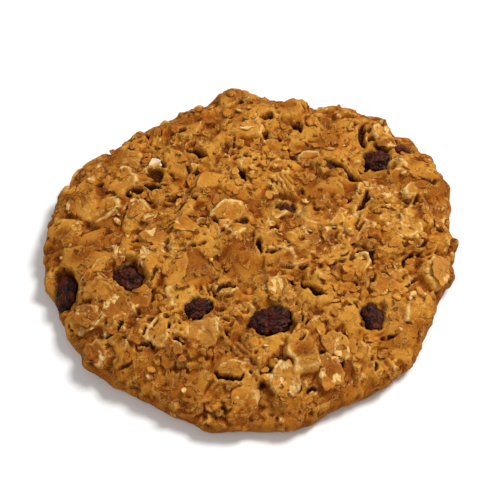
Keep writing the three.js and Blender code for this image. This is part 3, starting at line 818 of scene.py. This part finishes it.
def piece(name, points, faces, values=None, uv=None):
    """A smooth-shaded mesh from points in mm, over the origin as the solid is, with its vertex values."""
    mesh = bpy.data.meshes.new(name)
    mesh.from_pydata(((points - OFF_CENTRE) * MM).tolist(), [], [list(face) for face in faces])
    mesh.polygons.foreach_set("use_smooth", np.ones(len(mesh.polygons), bool))
    for key, value in (values or {}).items():
        mesh.attributes.new(key, "FLOAT", "POINT").data.foreach_set("value", value.astype(np.float32))
    if uv is not None:
        corners = np.empty(len(mesh.loops), np.int32)
        mesh.loops.foreach_get("vertex_index", corners)
        mesh.uv_layers.new(name="UVMap").data.foreach_set("uv", uv[corners].astype(np.float32).ravel())
    made = placed(name, mesh)
    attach(made, "root")
    print(f"{name}: {sum(len(face) - 2 for face in faces)} triangles")
    return made


marks = dict(oatness=oatness, tone=tone, brim=brim, hollow=hollow, ridge=ridge, stand=stand, toast=toast,
             painted_shade_and_stain=painted_shade_and_stain)
crust = piece("baked_crust", points, crust_quads.tolist() + crust_triangles.tolist(),
              marks)
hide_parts("oat_dough")

# %% [markdown]
# ## Loose-edged oats
#
# Some oats lie bare on the crust, with an edge curled clear of it. Each is a thin wafer: a disc grid
# stretched to an oval, with a groove down its length where the grain's crease was, a little curl, and a
# frayed outline. All oats are computed together, as one array of oats by vertices. A few small flakes of
# clean cream flesh lie on the finished crust.

# %% Choose the bare oats
LEAST_BARE = 0.66
SHORTEST_BARE = 3.4
LOWEST_BARE = 5
MOST_SUNK = 0.7
CREAM_SINK = 0.1
CREAM_FLAKES = [
    (-20.4, 19.4, 2.9, 2.2, 5, 22, 270, 0.2, 2), (-1.0, 28.2, 3.6, 2.4, 35, 8, 270, -0.1, 1.2),
    (28.4, 30.0, 3.4, 1.8, 75, 16, 300, -0.1, 1.2), (-24.6, 7.8, 2.8, 1.8, 55, 14, 270, -0.15, 1.2),
    (-37.8, 9.4, 2.8, 2.0, 80, 8, 270, -0.15, 1.25), (-21.4, 4.6, 3.6, 1.8, 20, 14, 270, -0.15, 1.2),
    (12.6, 15.2, 2.4, 1.4, 50, 14, 270, -0.15, 1.15), (3.0, 3.4, 2.6, 1.6, 120, 14, 270, -0.15, 1.15),
]  # x, y, length, width, yaw, tilt, the heading that the tilt dips towards, lift, and how clean from 1 to 2


def loose(this):
    """Whether an oat lies bare and loose-edged on the crust, not coated in it, and bridges no crack."""
    near = ((base - this.place) ** 2).sum(-1) < (0.4 * this.length) ** 2
    long_and_bare = this.bare > LEAST_BARE and this.length > SHORTEST_BARE
    return long_and_bare and painted_shade_and_stain[near].max(initial=0) < MOST_SUNK


def cream_flake(x, y, length, width, yaw, tilt, down, lift, clean):
    """A small clean wafer that lies on the finished crust, or this far above it."""
    seat = np.argmin(np.hypot(base[:, 0] - x, base[:, 1] - y) + HEIGHT * (areas > RIM_AREA))
    made = oat(areas[seat], angles[seat], length, width, yaw, tilt, down, 0, clean, 0)
    return made._replace(place=points[seat] + (lift - CREAM_SINK) * normals[seat])


bare_oats = [this for this in large_oats + small_oats if this.place[2] > LOWEST_BARE and loose(this)]
bare_oats += [cream_flake(*flake) for flake in CREAM_FLAKES]
print("bare oats:", len(bare_oats))

# %% Make the oats
OAT_CELLS = 14
CREASE = 0.2
FRAYS = [(3, 0.09, 3), (5, 0.07, 3), (8, 0.05, 3), (13, 0.045, 9)]  # waves round the edge, height, most turn
NOTCH, NOTCH_WIDTH = 0.16, 0.3
RUMPLES = [(0.16, 1.1, 61), (0.24, 2.4, 62)]  # height, size and key
THICKNESS_SHARE, RISE_SHARE = 0.24, 0.3
CURL, CURL_VARIES, BEND_VARIES, EDGE_LIFT = 0.04, 0.05, 0.02, 0.12
CREASE_WIDTH, CREASE_OFF = 0.3, 0.3
OUTLINE_SHARE = 0.97
APART, UV_APART = 50.0, 20.0  # keeps each wafer on its own stretch of the noises
WAFER_CEILING = CEILING + 0.3
BOLD_CLEAN = -0.2
MOST_CLEAN = 0.7
CLEAN_RARITY = 10


def wafers(oats, cells):
    """Top and bottom faces of all oats at once. Height is a curl that grows with the square of the distance
    across, a bend along, less the crease's narrow bell, and the thickness thins as a half ellipse towards the
    edge."""
    out, angle = disc_grid(cells)
    length = np.array([this.length for this in oats])[:, None]
    width = np.array([this.width for this in oats])[:, None]
    draws = chance.uniform(-1, 1, (8, len(oats), 1))
    ragged = 1.0
    for drawn, (waves, high, furthest) in zip(draws, FRAYS):
        ragged = ragged + high * np.cos(waves * angle + furthest * drawn)
    notch = NOTCH * np.exp(-((np.angle(np.exp(1j * angle)) / NOTCH_WIDTH) ** 2))
    reach = out * (ragged - notch * (draws[4] > 0)) * OUTLINE_SHARE
    x, y = reach * np.cos(angle) * length / 2, reach * np.sin(angle) * width / 2
    y = y * (1 + OAT_TAPER * reach * np.cos(angle))
    apart = np.broadcast_to(APART * np.arange(len(oats))[:, None], x.shape)
    flat = np.stack([x, y, apart], -1).reshape(-1, 3)
    rumple = layered(flat, RUMPLES).reshape(x.shape)
    curl = (CURL + CURL_VARIES * draws[5]) * y**2 / 2 + BEND_VARIES * draws[6] * x**2
    curl = curl + EDGE_LIFT * fade(out, 0.75, 1)
    crease = CREASE * np.exp(-(((y - CREASE_OFF * draws[7]) / CREASE_WIDTH) ** 2)) * fade(out, 1, 0.7)
    thick = THICKNESS_SHARE * OAT_THICKNESS * np.sqrt(1 - 0.8 * out**10)
    middle = rumple + curl + RISE_SHARE * OAT_THICKNESS
    return x, y, middle + thick - crease, middle - thick, out, draws[0, :, 0]


def oat_piece(name, oats, cells):
    """One mesh of all wafers, each closed by a strip round its edge, with the way along and across as its UV
    map."""
    x, y, top, bottom, out, tint = wafers(oats, cells)
    bold = np.array([this.bare == 1 and cells == OAT_CELLS for this in oats])
    clean = np.where(bold, BOLD_CLEAN, MOST_CLEAN * chance.uniform(0, 1, len(oats)) ** CLEAN_RARITY)
    clean = clean + 2 * np.array([max(this.bare - 1, 0) for this in oats])
    numbers = np.arange(out.size).reshape(cells + 1, -1)
    rim = border(numbers)
    rim = np.append(rim, rim[0])
    wall = grid_quads(np.vstack([rim + out.size, rim]))
    single = np.vstack([grid_quads(numbers), grid_quads(numbers + out.size)[:, ::-1], wall])
    local = np.stack([np.hstack([x, x]), np.hstack([y, y]), np.hstack([top, bottom])], -1)
    axes = np.array([this.axes for this in oats])
    places = np.array([this.place for this in oats])[:, None]
    points = under_ceiling(np.einsum("oij,ovj->ovi", axes, local) + places, WAFER_CEILING)
    faces = single + (np.arange(len(oats)) * 2 * out.size)[:, None, None]
    values = dict(shade=np.repeat(tint, 2 * out.size), clean=np.repeat(clean, 2 * out.size),
                  brim=np.tile(out, 2 * len(oats)))
    uv = local[..., :2].reshape(-1, 2) + np.repeat(np.arange(len(oats)) * UV_APART, 2 * out.size)[:, None]
    return piece(name, points.reshape(-1, 3), faces.reshape(-1, 4).tolist(), values, uv)


rolled_oats = oat_piece("rolled_oats", bare_oats, OAT_CELLS)

# %% [markdown]
# ## Shreds
#
# Torn bits of oat and dough cling to the crust at all slopes, some nearly on edge. They are small wafers of
# the same kind, each on a vertex of the crust drawn by lot and half sunk in it.

# %% Make the shreds
SHREDS = 420
SHRED_LENGTH = (1.0, 2.6)
SHRED_TILT = (5, 38)
SHRED_SINK = 0.1
SHRED_CELLS = 5


def shred_seats(count):
    """Oats of shred size on drawn vertices of the crust's top, clear of cracks and raisins."""
    allowed = (areas < RIM_AREA * 0.82) & (hollow < 0.4) & (painted_shade_and_stain < 0.05) & (smooth < 0.5)
    made = []
    for seat in chance.choice(np.flatnonzero(allowed & (oatness < CRISP_FROM)), count, replace=False):
        length = chance.uniform(*SHRED_LENGTH)
        turn = drawn_turn(SHRED_TILT)
        width = length * chance.uniform(*CHIP_SHAPE)
        shred = oat(areas[seat], angles[seat], length, width, *turn, 0, 1, 0)
        made.append(shred._replace(place=points[seat] - SHRED_SINK * normals[seat]))
    return made


dough_shreds = oat_piece("dough_shreds", shred_seats(SHREDS), SHRED_CELLS)

# %% [markdown]
# ## Raisins
#
# Each raisin fills its own ellipsoid and only ever folds inwards, so it keeps the solid's form. A fine ball
# is stretched to the ellipsoid, and the folds that shaped its pocket shape it too, so the two fit.

# %% Make the raisins
RAISIN_ROWS = 80
RAISIN_SIDES = 130
DEEPEST_SHARE = 0.6


def ball(rows, sides):
    """A closed unit ball: rings of points from pole to pole, and its faces."""
    down = np.pi * np.arange(1, rows) / rows
    turn = 2 * np.pi * np.arange(sides) / sides
    ring = np.stack([np.outer(np.sin(down), np.cos(turn)), np.outer(np.sin(down), np.sin(turn)),
                     np.repeat(np.cos(down)[:, None], sides, 1)], -1).reshape(-1, 3)
    points = np.vstack([ring, [[0, 0, 1], [0, 0, -1]]])
    numbers = ringed(0, rows - 1, sides)
    quads = grid_quads(numbers)[:, ::-1]
    top = np.stack([numbers[0, :-1], numbers[0, 1:], np.full(sides, len(ring))], -1)
    bottom = np.stack([numbers[-1, 1:], numbers[-1, :-1], np.full(sides, len(ring) + 1)], -1)
    return points, quads, np.vstack([top, bottom])


def raisin_piece(this):
    """A fine ball stretched to the raisin's half sizes and folded inwards."""
    unit, quads, ends = ball(RAISIN_ROWS, RAISIN_SIDES)
    sized = unit * this.half
    depth = fold_depth(sized, this.key)
    reach = np.linalg.norm(sized, axis=1)
    folded = sized * (1 - np.minimum(depth / reach, DEEPEST_SHARE))[:, None]
    made = piece(this.node + "_skin", folded @ this.axes.T + this.middle, quads.tolist() + ends.tolist(),
                 {"fold": depth, "redness": np.full(len(depth), float(this.redness))})
    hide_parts(this.node)
    return made


raisin_skins = [raisin_piece(this) for this in raisins]

# %% [markdown]
# ## Finishes
#
# Colours are written as sRGB hex values, as a paint chart gives them, and one function turns them to the
# linear values that light adds up in. A pattern's scale is worked out from its real size in millimetres. A
# finish is then painted as on a model: one thin coat over another, each only where ramps over some values
# let it. A ramp is a value, where on it the ramp starts and ends, and what it gives there.

# %% Helpers for the finishes


def linear(hex_colour):
    """An sRGB hex colour as linear red, green, blue and alpha."""
    srgb = np.array([int(hex_colour[i : i + 2], 16) for i in (1, 3, 5)]) / 255
    low, high = srgb / 12.92, ((srgb + 0.055) / 1.055) ** 2.4
    return (*np.where(srgb <= 0.04045, low, high).tolist(), 1.0)


def per_mm(size):
    """The texture scale at which a pattern in metres has this size in millimetres."""
    return 1 / (size * MM)


def finish(name, constants):
    """A new material with these constants on its shader's sockets, its node tree and its shader."""
    material = bpy.data.materials.new(name)
    material.use_nodes = True
    shader = material.node_tree.nodes["Principled BSDF"]
    for key, value in constants.items():
        shader.inputs[key].default_value = value
    return material, material.node_tree, shader


def put(tree, kind, inputs=None, **settings):
    """Adds one node with these settings. An input takes a value, or another node's output, which it joins."""
    node = tree.nodes.new(kind)
    for key, value in settings.items():
        setattr(node, key, value)
    for key, value in (inputs or {}).items():
        if isinstance(value, bpy.types.NodeSocket):
            tree.links.new(value, node.inputs[key])
        else:
            node.inputs[key].default_value = value
    return node


def ramped(tree, most, *ramps):
    """This much, times every ramp. A ramp is level beyond its ends. Where they aren't said, it starts and
    ends at 0 and 1, and gives 0 and 1 there."""
    for ramp in ramps:
        given = put(tree, "ShaderNodeMapRange", dict(enumerate(ramp))).outputs[0]
        most = put(tree, "ShaderNodeMath", {0: most, 1: given}, operation="MULTIPLY").outputs[0]
    return most


def summed(tree, start, *parts):
    """A number plus the sum of values, each times its own weight."""
    for value, weight in parts:
        inputs = {0: value, 1: weight, 2: start}
        start = put(tree, "ShaderNodeMath", inputs, operation="MULTIPLY_ADD").outputs[0]
    return start


def painted(tree, under, *coats):
    """Coats laid one after another over a colour. Each is a colour, how much of it there is at most, and the
    ramps that this is times."""
    for colour, most, *ramps in coats:
        inputs = {0: ramped(tree, most, *ramps), 6: under, 7: colour}
        under = put(tree, "ShaderNodeMix", inputs, data_type="RGBA").outputs[2]
    return under


def shifted(tree, moved, place, size, detail, reach):
    """A place moved by a noise of this size, up to half this reach in mm each way, so that what is drawn
    there is crooked."""
    noise = put(tree, "ShaderNodeTexNoise", {"Vector": place, "Scale": per_mm(size), "Detail": detail})
    both_ways = {0: noise.outputs["Color"], 1: (0.5, 0.5, 0.5)}
    way = put(tree, "ShaderNodeVectorMath", both_ways, operation="SUBTRACT").outputs[0]
    inputs = {0: way, 1: (reach * MM, reach * MM, reach * MM), 2: moved}
    return put(tree, "ShaderNodeVectorMath", inputs, operation="MULTIPLY_ADD").outputs[0]


def surfaced(tree, shader, colour, height, depth):
    """Gives the shader its colour, and lets light see this height, in units of depth in metres."""
    bump = put(tree, "ShaderNodeBump", {"Height": height, "Strength": 1.0, "Distance": depth})
    tree.links.new(colour, shader.inputs["Base Color"])
    tree.links.new(bump.outputs[0], shader.inputs["Normal"])


print("white is", linear("#FFFFFF"))

# %% [markdown]
# ### Baked oat dough
#
# Sugar and butter brown in the oven: golden brown on open dough, and darker on the rim and underside. Shade
# is painted in: near black in deep cracks, hollows and pockets that see little light, darker in low places,
# in holes and under the edges of flakes. Light is painted too: yellower on crests, raised places and the
# edges of flakes. An oat's pale flesh shows through its coat. The surface is dry and crinkled, so it hardly
# shines: it has fine crooked wrinkles, grit, and little holes where steam broke out.

# %% Crumb and patches
GOLDEN = linear("#C0761E")
RUSSET = linear("#9C5815")
OCHRE = linear("#CF943C")
OLIVE = linear("#9A6A1E")
PALE_OAT = linear("#DFB062")
BROWNED = linear("#8A4D17")
# painted shade for places that lie low
PAINTED_SHADE_BROWN = linear("#803A09")
UMBER = linear("#5A1F05")
# painted shade in hollows, cracks and pockets, also the stain round raisins
DEEP = linear("#2E0A00")
CREAM = linear("#EAC67F")
FLAKE_SIZE, FLAKE_PATCHES = 2.4, 3
HOLE_SPACING = 2.1
GRIT_SIZE = 0.55  # flour and sugar are finer, and are drawn as coarse as they need to show
BATCH_SIZE, PATCH_SIZE, BUTTER_SIZE, MOTTLE_SIZE = 20, 9, 3.2, 1.4
MIDDLE_TO_RIM = (12 * MM, 42 * MM)


def crumb_pattern(tree, place):
    """The height of a baked crumb, the painted shade under and the painted highlight on its flakes' edges,
    its holes, painted dark as shade, with their brown halo, and its grit. A flake's edge is where a crooked
    noise passes its middle value, in patches, and holes lie round some points of a cell pattern."""
    crooked = shifted(tree, place, place, size=1.9, detail=2.0, reach=1.6)
    flaky = put(tree, "ShaderNodeTexNoise", {"Vector": crooked, "Scale": per_mm(FLAKE_SIZE), "Detail": 3.0,
                                             "Roughness": 0.55}).outputs[0]
    patchy = put(tree, "ShaderNodeTexNoise", {"Vector": place, "Scale": per_mm(FLAKE_PATCHES),
                                              "Detail": 1.0}).outputs[0]
    in_patches = patchy, 0.44, 0.54
    flakes = ramped(tree, 1.0, (flaky, 0.475, 0.505), in_patches)
    painted_shade_under_edge = ramped(tree, 1.0, (flaky, 0.43, 0.465), (flaky, 0.495, 0.475), in_patches)
    painted_highlight_on_edge = ramped(tree, 1.0, (flaky, 0.495, 0.515), (flaky, 0.57, 0.53), in_patches)
    torn = shifted(tree, crooked, place, size=0.6, detail=1.0, reach=1.1)
    spots = put(tree, "ShaderNodeTexVoronoi", {"Vector": torn, "Scale": per_mm(HOLE_SPACING)})
    lot = put(tree, "ShaderNodeSeparateColor", {0: spots.outputs["Color"]}).outputs[0]
    holes = ramped(tree, 1.0, (spots.outputs["Distance"], 0.22, 0.13), (lot, 0.66, 0.74))
    halo = ramped(tree, 1.0, (spots.outputs["Distance"], 0.38, 0.2), (lot, 0.66, 0.74))
    grit = put(tree, "ShaderNodeTexNoise", {"Vector": place, "Scale": per_mm(GRIT_SIZE), "Detail": 4.0,
                                            "Roughness": 0.7}).outputs[0]
    height = summed(tree, 0.0, (flakes, 1.0), (grit, 1.0), (holes, -1.0))
    return height, painted_shade_under_edge, painted_highlight_on_edge, holes, halo, grit


def dough_colour(tree, place, tone):
    """Golden with russet, ochre and olive patches, each where its own noise runs high, and the finest of
    those noises. Tone shifts a whole oat."""
    batches = put(tree, "ShaderNodeTexNoise", {"Vector": place, "Scale": per_mm(BATCH_SIZE),
                                               "Detail": 2.0}).outputs[0]
    patches = put(tree, "ShaderNodeTexNoise", {"Vector": place, "Scale": per_mm(PATCH_SIZE), "Detail": 4.0,
                                               "Roughness": 0.6}).outputs[0]
    buttery = put(tree, "ShaderNodeTexNoise", {"Vector": place, "Scale": per_mm(BUTTER_SIZE), "Detail": 2.0,
                                               "Distortion": 0.6}).outputs[0]
    mottle = put(tree, "ShaderNodeTexNoise", {"Vector": place, "Scale": per_mm(MOTTLE_SIZE), "Detail": 4.0,
                                              "Roughness": 0.65}).outputs[0]
    from_middle = put(tree, "ShaderNodeVectorMath", {0: place}, operation="LENGTH").outputs["Value"]
    nearer = ramped(tree, 1.0, (from_middle, *MIDDLE_TO_RIM, 0.05, -0.05))
    warmth = summed(tree, -0.25, (patches, 1.0), (batches, 0.5), (nearer, 1.0), (tone, 0.08))
    colour = painted(tree, RUSSET, (GOLDEN, 1.0, (warmth, 0.4, 0.6)), (OCHRE, 0.7, (warmth, 0.52, 0.7)),
                     (OLIVE, 0.5, (buttery, 0.54, 0.68)), (RUSSET, 0.7, (mottle, 0.52, 0.66)))
    return colour, mottle


# %% Baked oat dough
DRY_DOUGH = {"IOR": 1.46, "Specular IOR Level": 0.03}
CRUMB_DEPTH = 0.24 * MM
SUGAR_GRAIN = 0.3


def dough_finish():
    """The dough's patches with pale oats, painted highlights on crests and raised places, and painted shade
    under edges, in holes, hollows, cracks, pockets and low places, and a stain round raisins.
    """
    material, tree, shader = finish("baked oat dough", DRY_DOUGH)
    place = put(tree, "ShaderNodeTexCoord").outputs["Object"]
    oatness, tone, brim, hollow, ridge, stand, toast, painted_shade_and_stain = (
        put(tree, "ShaderNodeAttribute", attribute_name=key).outputs["Fac"] for key in marks)
    height, painted_shade_under_edge, painted_highlight_on_edge, holes, halo, grit = crumb_pattern(tree, place)
    colour, mottle = dough_colour(tree, place, tone)
    # how low a place lies, for painted shade
    low = summed(tree, 0.0, (hollow, 1.0), (ridge, -0.3))
    on_dough = (toast, 0, 1, 1, 0.25), (oatness, 0.3, 0.8, 1, 0.2)
    grain = put(tree, "ShaderNodeTexNoise", {"Vector": place, "Scale": per_mm(SUGAR_GRAIN),
                                             "Detail": 2.0}).outputs[0]
    colour = painted(
        tree, colour,
        # painted light on broadly raised places and painted shade on broadly low ones
        (OCHRE, 0.4, (stand, 0.1, 0.9)),
        (BROWNED, 0.75, (stand, 0.05, -0.8)),
        # painted highlight on crests
        (OCHRE, 0.75, (ridge, 0.15, 0.9), (mottle, 0.62, 0.42)),
        (PALE_OAT, 0.8, (oatness, 0.45, 0.95), (mottle, 0.45, 0.37)),
        # cream on crisp oats' lifted lips: partly oat flesh, partly a painted highlight
        (CREAM, 1.0, (brim,), (mottle, 0.6, 0.45, 0.2, 0.9)),
        (BROWNED, 0.5, (toast,)),
        # painted shade in low places
        (PAINTED_SHADE_BROWN, 0.85, (low, -0.02, 0.3)),
        # painted highlight on, and painted shade under, the flakes' edges
        (PALE_OAT, 0.25, (painted_highlight_on_edge,), *on_dough),
        (UMBER, 0.4, (painted_shade_under_edge,), *on_dough),
        (UMBER, 0.55, (halo,)),
        # painted shade in hollows
        (DEEP, 0.96, (hollow, 0.22, 0.8)),
        # painted shade in the holes
        (UMBER, 0.75, (holes,)),
        # painted shade in cracks, slits, pockets and between oats on edge, and a stain round raisins
        (DEEP, 0.8, (painted_shade_and_stain,)),
        (UMBER, 0.22, (grain, 0.48, 0.3)),
        (PALE_OAT, 0.15, (grain, 0.52, 0.7)),
    )
    surfaced(tree, shader, colour, height, CRUMB_DEPTH)
    tree.links.new(ramped(tree, 1.0, (grit, 0.35, 0.7, 0.6, 0.85)), shader.inputs["Roughness"])
    return material


crust.data.materials.append(dough_finish())
print("finished the dough")

# %% [markdown]
# ### Toasted rolled oats
#
# An oat is pressed flat and shows cream flesh, a tan bran skin in fine streaks along its length, and a
# toasted brim. Dough has dried on most of it, so cream shows only in spots. Butter in the dough gives it a
# faint shine. Shreds are the same with hardly any cream.

# %% Toasted rolled oats
BRAN = linear("#BE8234")
TOASTED = linear("#96581A")
PALEST = linear("#F6EACB")
BUTTERED = {"Roughness": 0.65, "IOR": 1.46, "Specular IOR Level": 0.15}
BRAN_DEPTH = 0.16 * MM
STREAKS_PER_MM = (0.35, 2.6, 1)
OAT_FILM = (0.36, 0.43)
SHRED_FILM = (0.29, 0.37)
FILM_SIZE = 2.4


def oat_finish(name, film_ends):
    """Cream flesh with bran streaks along the oat, toasted towards the brim, under patches of dried dough.
    The film of dough is gone where a noise is below the first of its ends, and whole above the second."""
    material, tree, shader = finish(name, BUTTERED)
    place = put(tree, "ShaderNodeTexCoord").outputs["Object"]
    along = put(tree, "ShaderNodeUVMap", uv_map="UVMap").outputs[0]
    streaks = put(tree, "ShaderNodeVectorMath", {0: along, 1: STREAKS_PER_MM}, operation="MULTIPLY")
    bran = put(tree, "ShaderNodeTexNoise", {"Vector": streaks.outputs[0], "Scale": 1.0, "Detail": 4.0,
                                            "Roughness": 0.6}).outputs[0]
    film = put(tree, "ShaderNodeTexNoise", {"Vector": place, "Scale": per_mm(FILM_SIZE),
                                            "Detail": 3.0}).outputs[0]
    brim, shade, clean = (put(tree, "ShaderNodeAttribute", attribute_name=key).outputs["Fac"]
                          for key in ("brim", "shade", "clean"))
    film = summed(tree, 0.0, (film, 1.0), (clean, -0.2))
    height, painted_shade_under_edge, painted_highlight_on_edge, holes, halo, _ = crumb_pattern(tree, place)
    coat, _ = dough_colour(tree, place, shade)
    # painted highlight on, and painted shade under, the crumb's edges
    coat = painted(tree, coat, (OCHRE, 0.35, (brim, 0.8, 1)), (PALE_OAT, 0.2, (painted_highlight_on_edge,)),
                   (UMBER, 0.25, (painted_shade_under_edge,)), (UMBER, 0.4, (halo,)), (OCHRE, 0.35, (clean, -0.05, -0.2)))
    colour = painted(tree, CREAM, (BRAN, 0.8, (bran, 0.42, 0.64)), (TOASTED, 0.6, (brim, 0.7, 1)),
                     (PALEST, 0.6, (clean, 0.7, 1.5)), (coat, 1.0, (film, *film_ends)),
                     # painted shade in the holes
                     (UMBER, 0.7, (holes,)))
    surfaced(tree, shader, colour, summed(tree, 0.0, (height, 1.0), (bran, 1.0)), BRAN_DEPTH)
    return material


rolled_oats.data.materials.append(oat_finish("toasted rolled oats", OAT_FILM))
dough_shreds.data.materials.append(oat_finish("coated shreds", SHRED_FILM))
print("finished the oats and shreds")

# %% [markdown]
# ### Raisin skin
#
# A dried grape: nearly black purple-brown on the backs of its folds, redder where the skin is thin, browner
# where dough has stained it, with a sticky, half glossy surface. Light specks here and there on the backs of
# its folds are partly dried sugar and partly painted glints.

# %% Raisin skin
GRAPE_SKIN = linear("#220902")
THIN_SKIN = linear("#5A1E09")
SUGAR_AND_GLINT = linear("#80573C")
STICKY = {"IOR": 1.48, "Specular IOR Level": 0.17}
WRINKLE_DEPTH = 0.1 * MM
BLOTCH_SIZE, DUST_SIZE, WRINKLE_SIZE = 1.8, 0.5, 0.4


def raisin_finish():
    """Dark skin, redder in blotches, with light specks on the backs of some folds that are partly dried sugar
    and partly painted glints.
    """
    material, tree, shader = finish("raisin skin", STICKY)
    place = put(tree, "ShaderNodeTexCoord").outputs["Object"]
    blotch, dust, wrinkles = (
        put(tree, "ShaderNodeTexNoise", {"Vector": place, "Scale": per_mm(size), "Detail": 3.0}).outputs[0]
        for size in (BLOTCH_SIZE, DUST_SIZE, WRINKLE_SIZE))
    fold, redness = (put(tree, "ShaderNodeAttribute", attribute_name=key).outputs["Fac"]
                     for key in ("fold", "redness"))
    blotch = summed(tree, 0.0, (blotch, 1.0), (redness, 0.18))
    # the light specks on the fold backs are partly dried sugar and partly painted glints
    colour = painted(tree, GRAPE_SKIN, (THIN_SKIN, 1.0, (blotch, 0.42, 0.72)),
                     (SUGAR_AND_GLINT, 0.6, (fold, 0.9, 0.2), (dust, 0.54, 0.66)), (UMBER, 0.6, (redness, 0, -1)))
    surfaced(tree, shader, colour, wrinkles, WRINKLE_DEPTH)
    tree.links.new(ramped(tree, 1.0, (dust, 0.4, 0.6, 0.42, 0.66)), shader.inputs["Roughness"])
    return material


raisin_material = raisin_finish()
for skin_piece in raisin_skins:
    skin_piece.data.materials.append(raisin_material)
print("finished the raisins")

# %% [markdown]
# ## Floor, light and camera
#
# A plain white table, one large soft lamp high at the right and behind, a weaker one in front at the left,
# and a pale sky. The camera looks down at the cookie with a long lens, so its shape is hardly foreshortened.

# %% Floor and light
FLOOR_SIZE = 4.0
WHITE_LACQUER = {"Base Color": linear("#F4F3F1"), "Roughness": 0.7}
LAMPS = {
    "key_lamp": (120, 56, 0.9, 0.3, 7.9),
    "fill_lamp": (-30, 50, 1.0, 0.7, 2.4),
}  # azimuth, elevation, distance, size, power
SKY_COLOUR = linear("#FFFFFF")
SKY_STRENGTH = 0.34


def floor_piece():
    """A square table top at the underside's height."""
    mesh = bpy.data.meshes.new("table_top")
    half = FLOOR_SIZE / 2
    corners = [(-half, -half, 0), (half, -half, 0), (half, half, 0), (-half, half, 0)]
    mesh.from_pydata(corners, [], [(0, 1, 2, 3)])
    mesh.materials.append(finish("white table", WHITE_LACQUER)[0])
    made = placed("table_top", mesh)


def lamp(name, azimuth, elevation, distance, size, power):
    """A square soft lamp that looks at the cookie from this direction."""
    data = bpy.data.lights.new(name, "AREA")
    data.shape, data.size, data.energy = "SQUARE", size, power
    made = placed(name, data)
    a, e = np.radians(azimuth), np.radians(elevation)
    made.location = distance * Vector((np.sin(a) * np.cos(e), -np.cos(a) * np.cos(e), np.sin(e)))
    made.rotation_euler = made.location.to_track_quat("Z", "Y").to_euler()


floor_piece()
for name, sizes in LAMPS.items():
    lamp(name, *sizes)
world = bpy.data.worlds.new("pale_sky")
world.use_nodes = True
world.node_tree.nodes["Background"].inputs["Color"].default_value = SKY_COLOUR
world.node_tree.nodes["Background"].inputs["Strength"].default_value = SKY_STRENGTH
scene = bpy.context.scene
scene.world = world
scene.view_settings.view_transform = "Standard"
print("lamps:", [o.name for o in scene.objects if o.type == "LIGHT"])

# %% Camera
LENS = 146
SENSOR = 36
ELEVATION = 56
SEEN_WIDTH = 0.104
AIM = Vector((0, 0.0005, 0.004))
camera_data = bpy.data.cameras.new("camera")
camera_data.lens, camera_data.sensor_width = LENS, SENSOR
camera_data.clip_start, camera_data.clip_end = 0.01, 20
camera = placed("camera", camera_data)
rise = np.radians(ELEVATION)
camera.location = AIM + SEEN_WIDTH * LENS / SENSOR * Vector((0, -np.cos(rise), np.sin(rise)))
camera.rotation_euler = (AIM - camera.location).to_track_quat("-Z", "Y").to_euler()
scene.camera = camera
print("camera distance, m: %.3f" % (AIM - camera.location).length)

# %% [markdown]
# ## Finish
#
# The dressed cookie has to fill the solid's box and not outgrow it.

# %% Finish
bpy.context.view_layer.update()
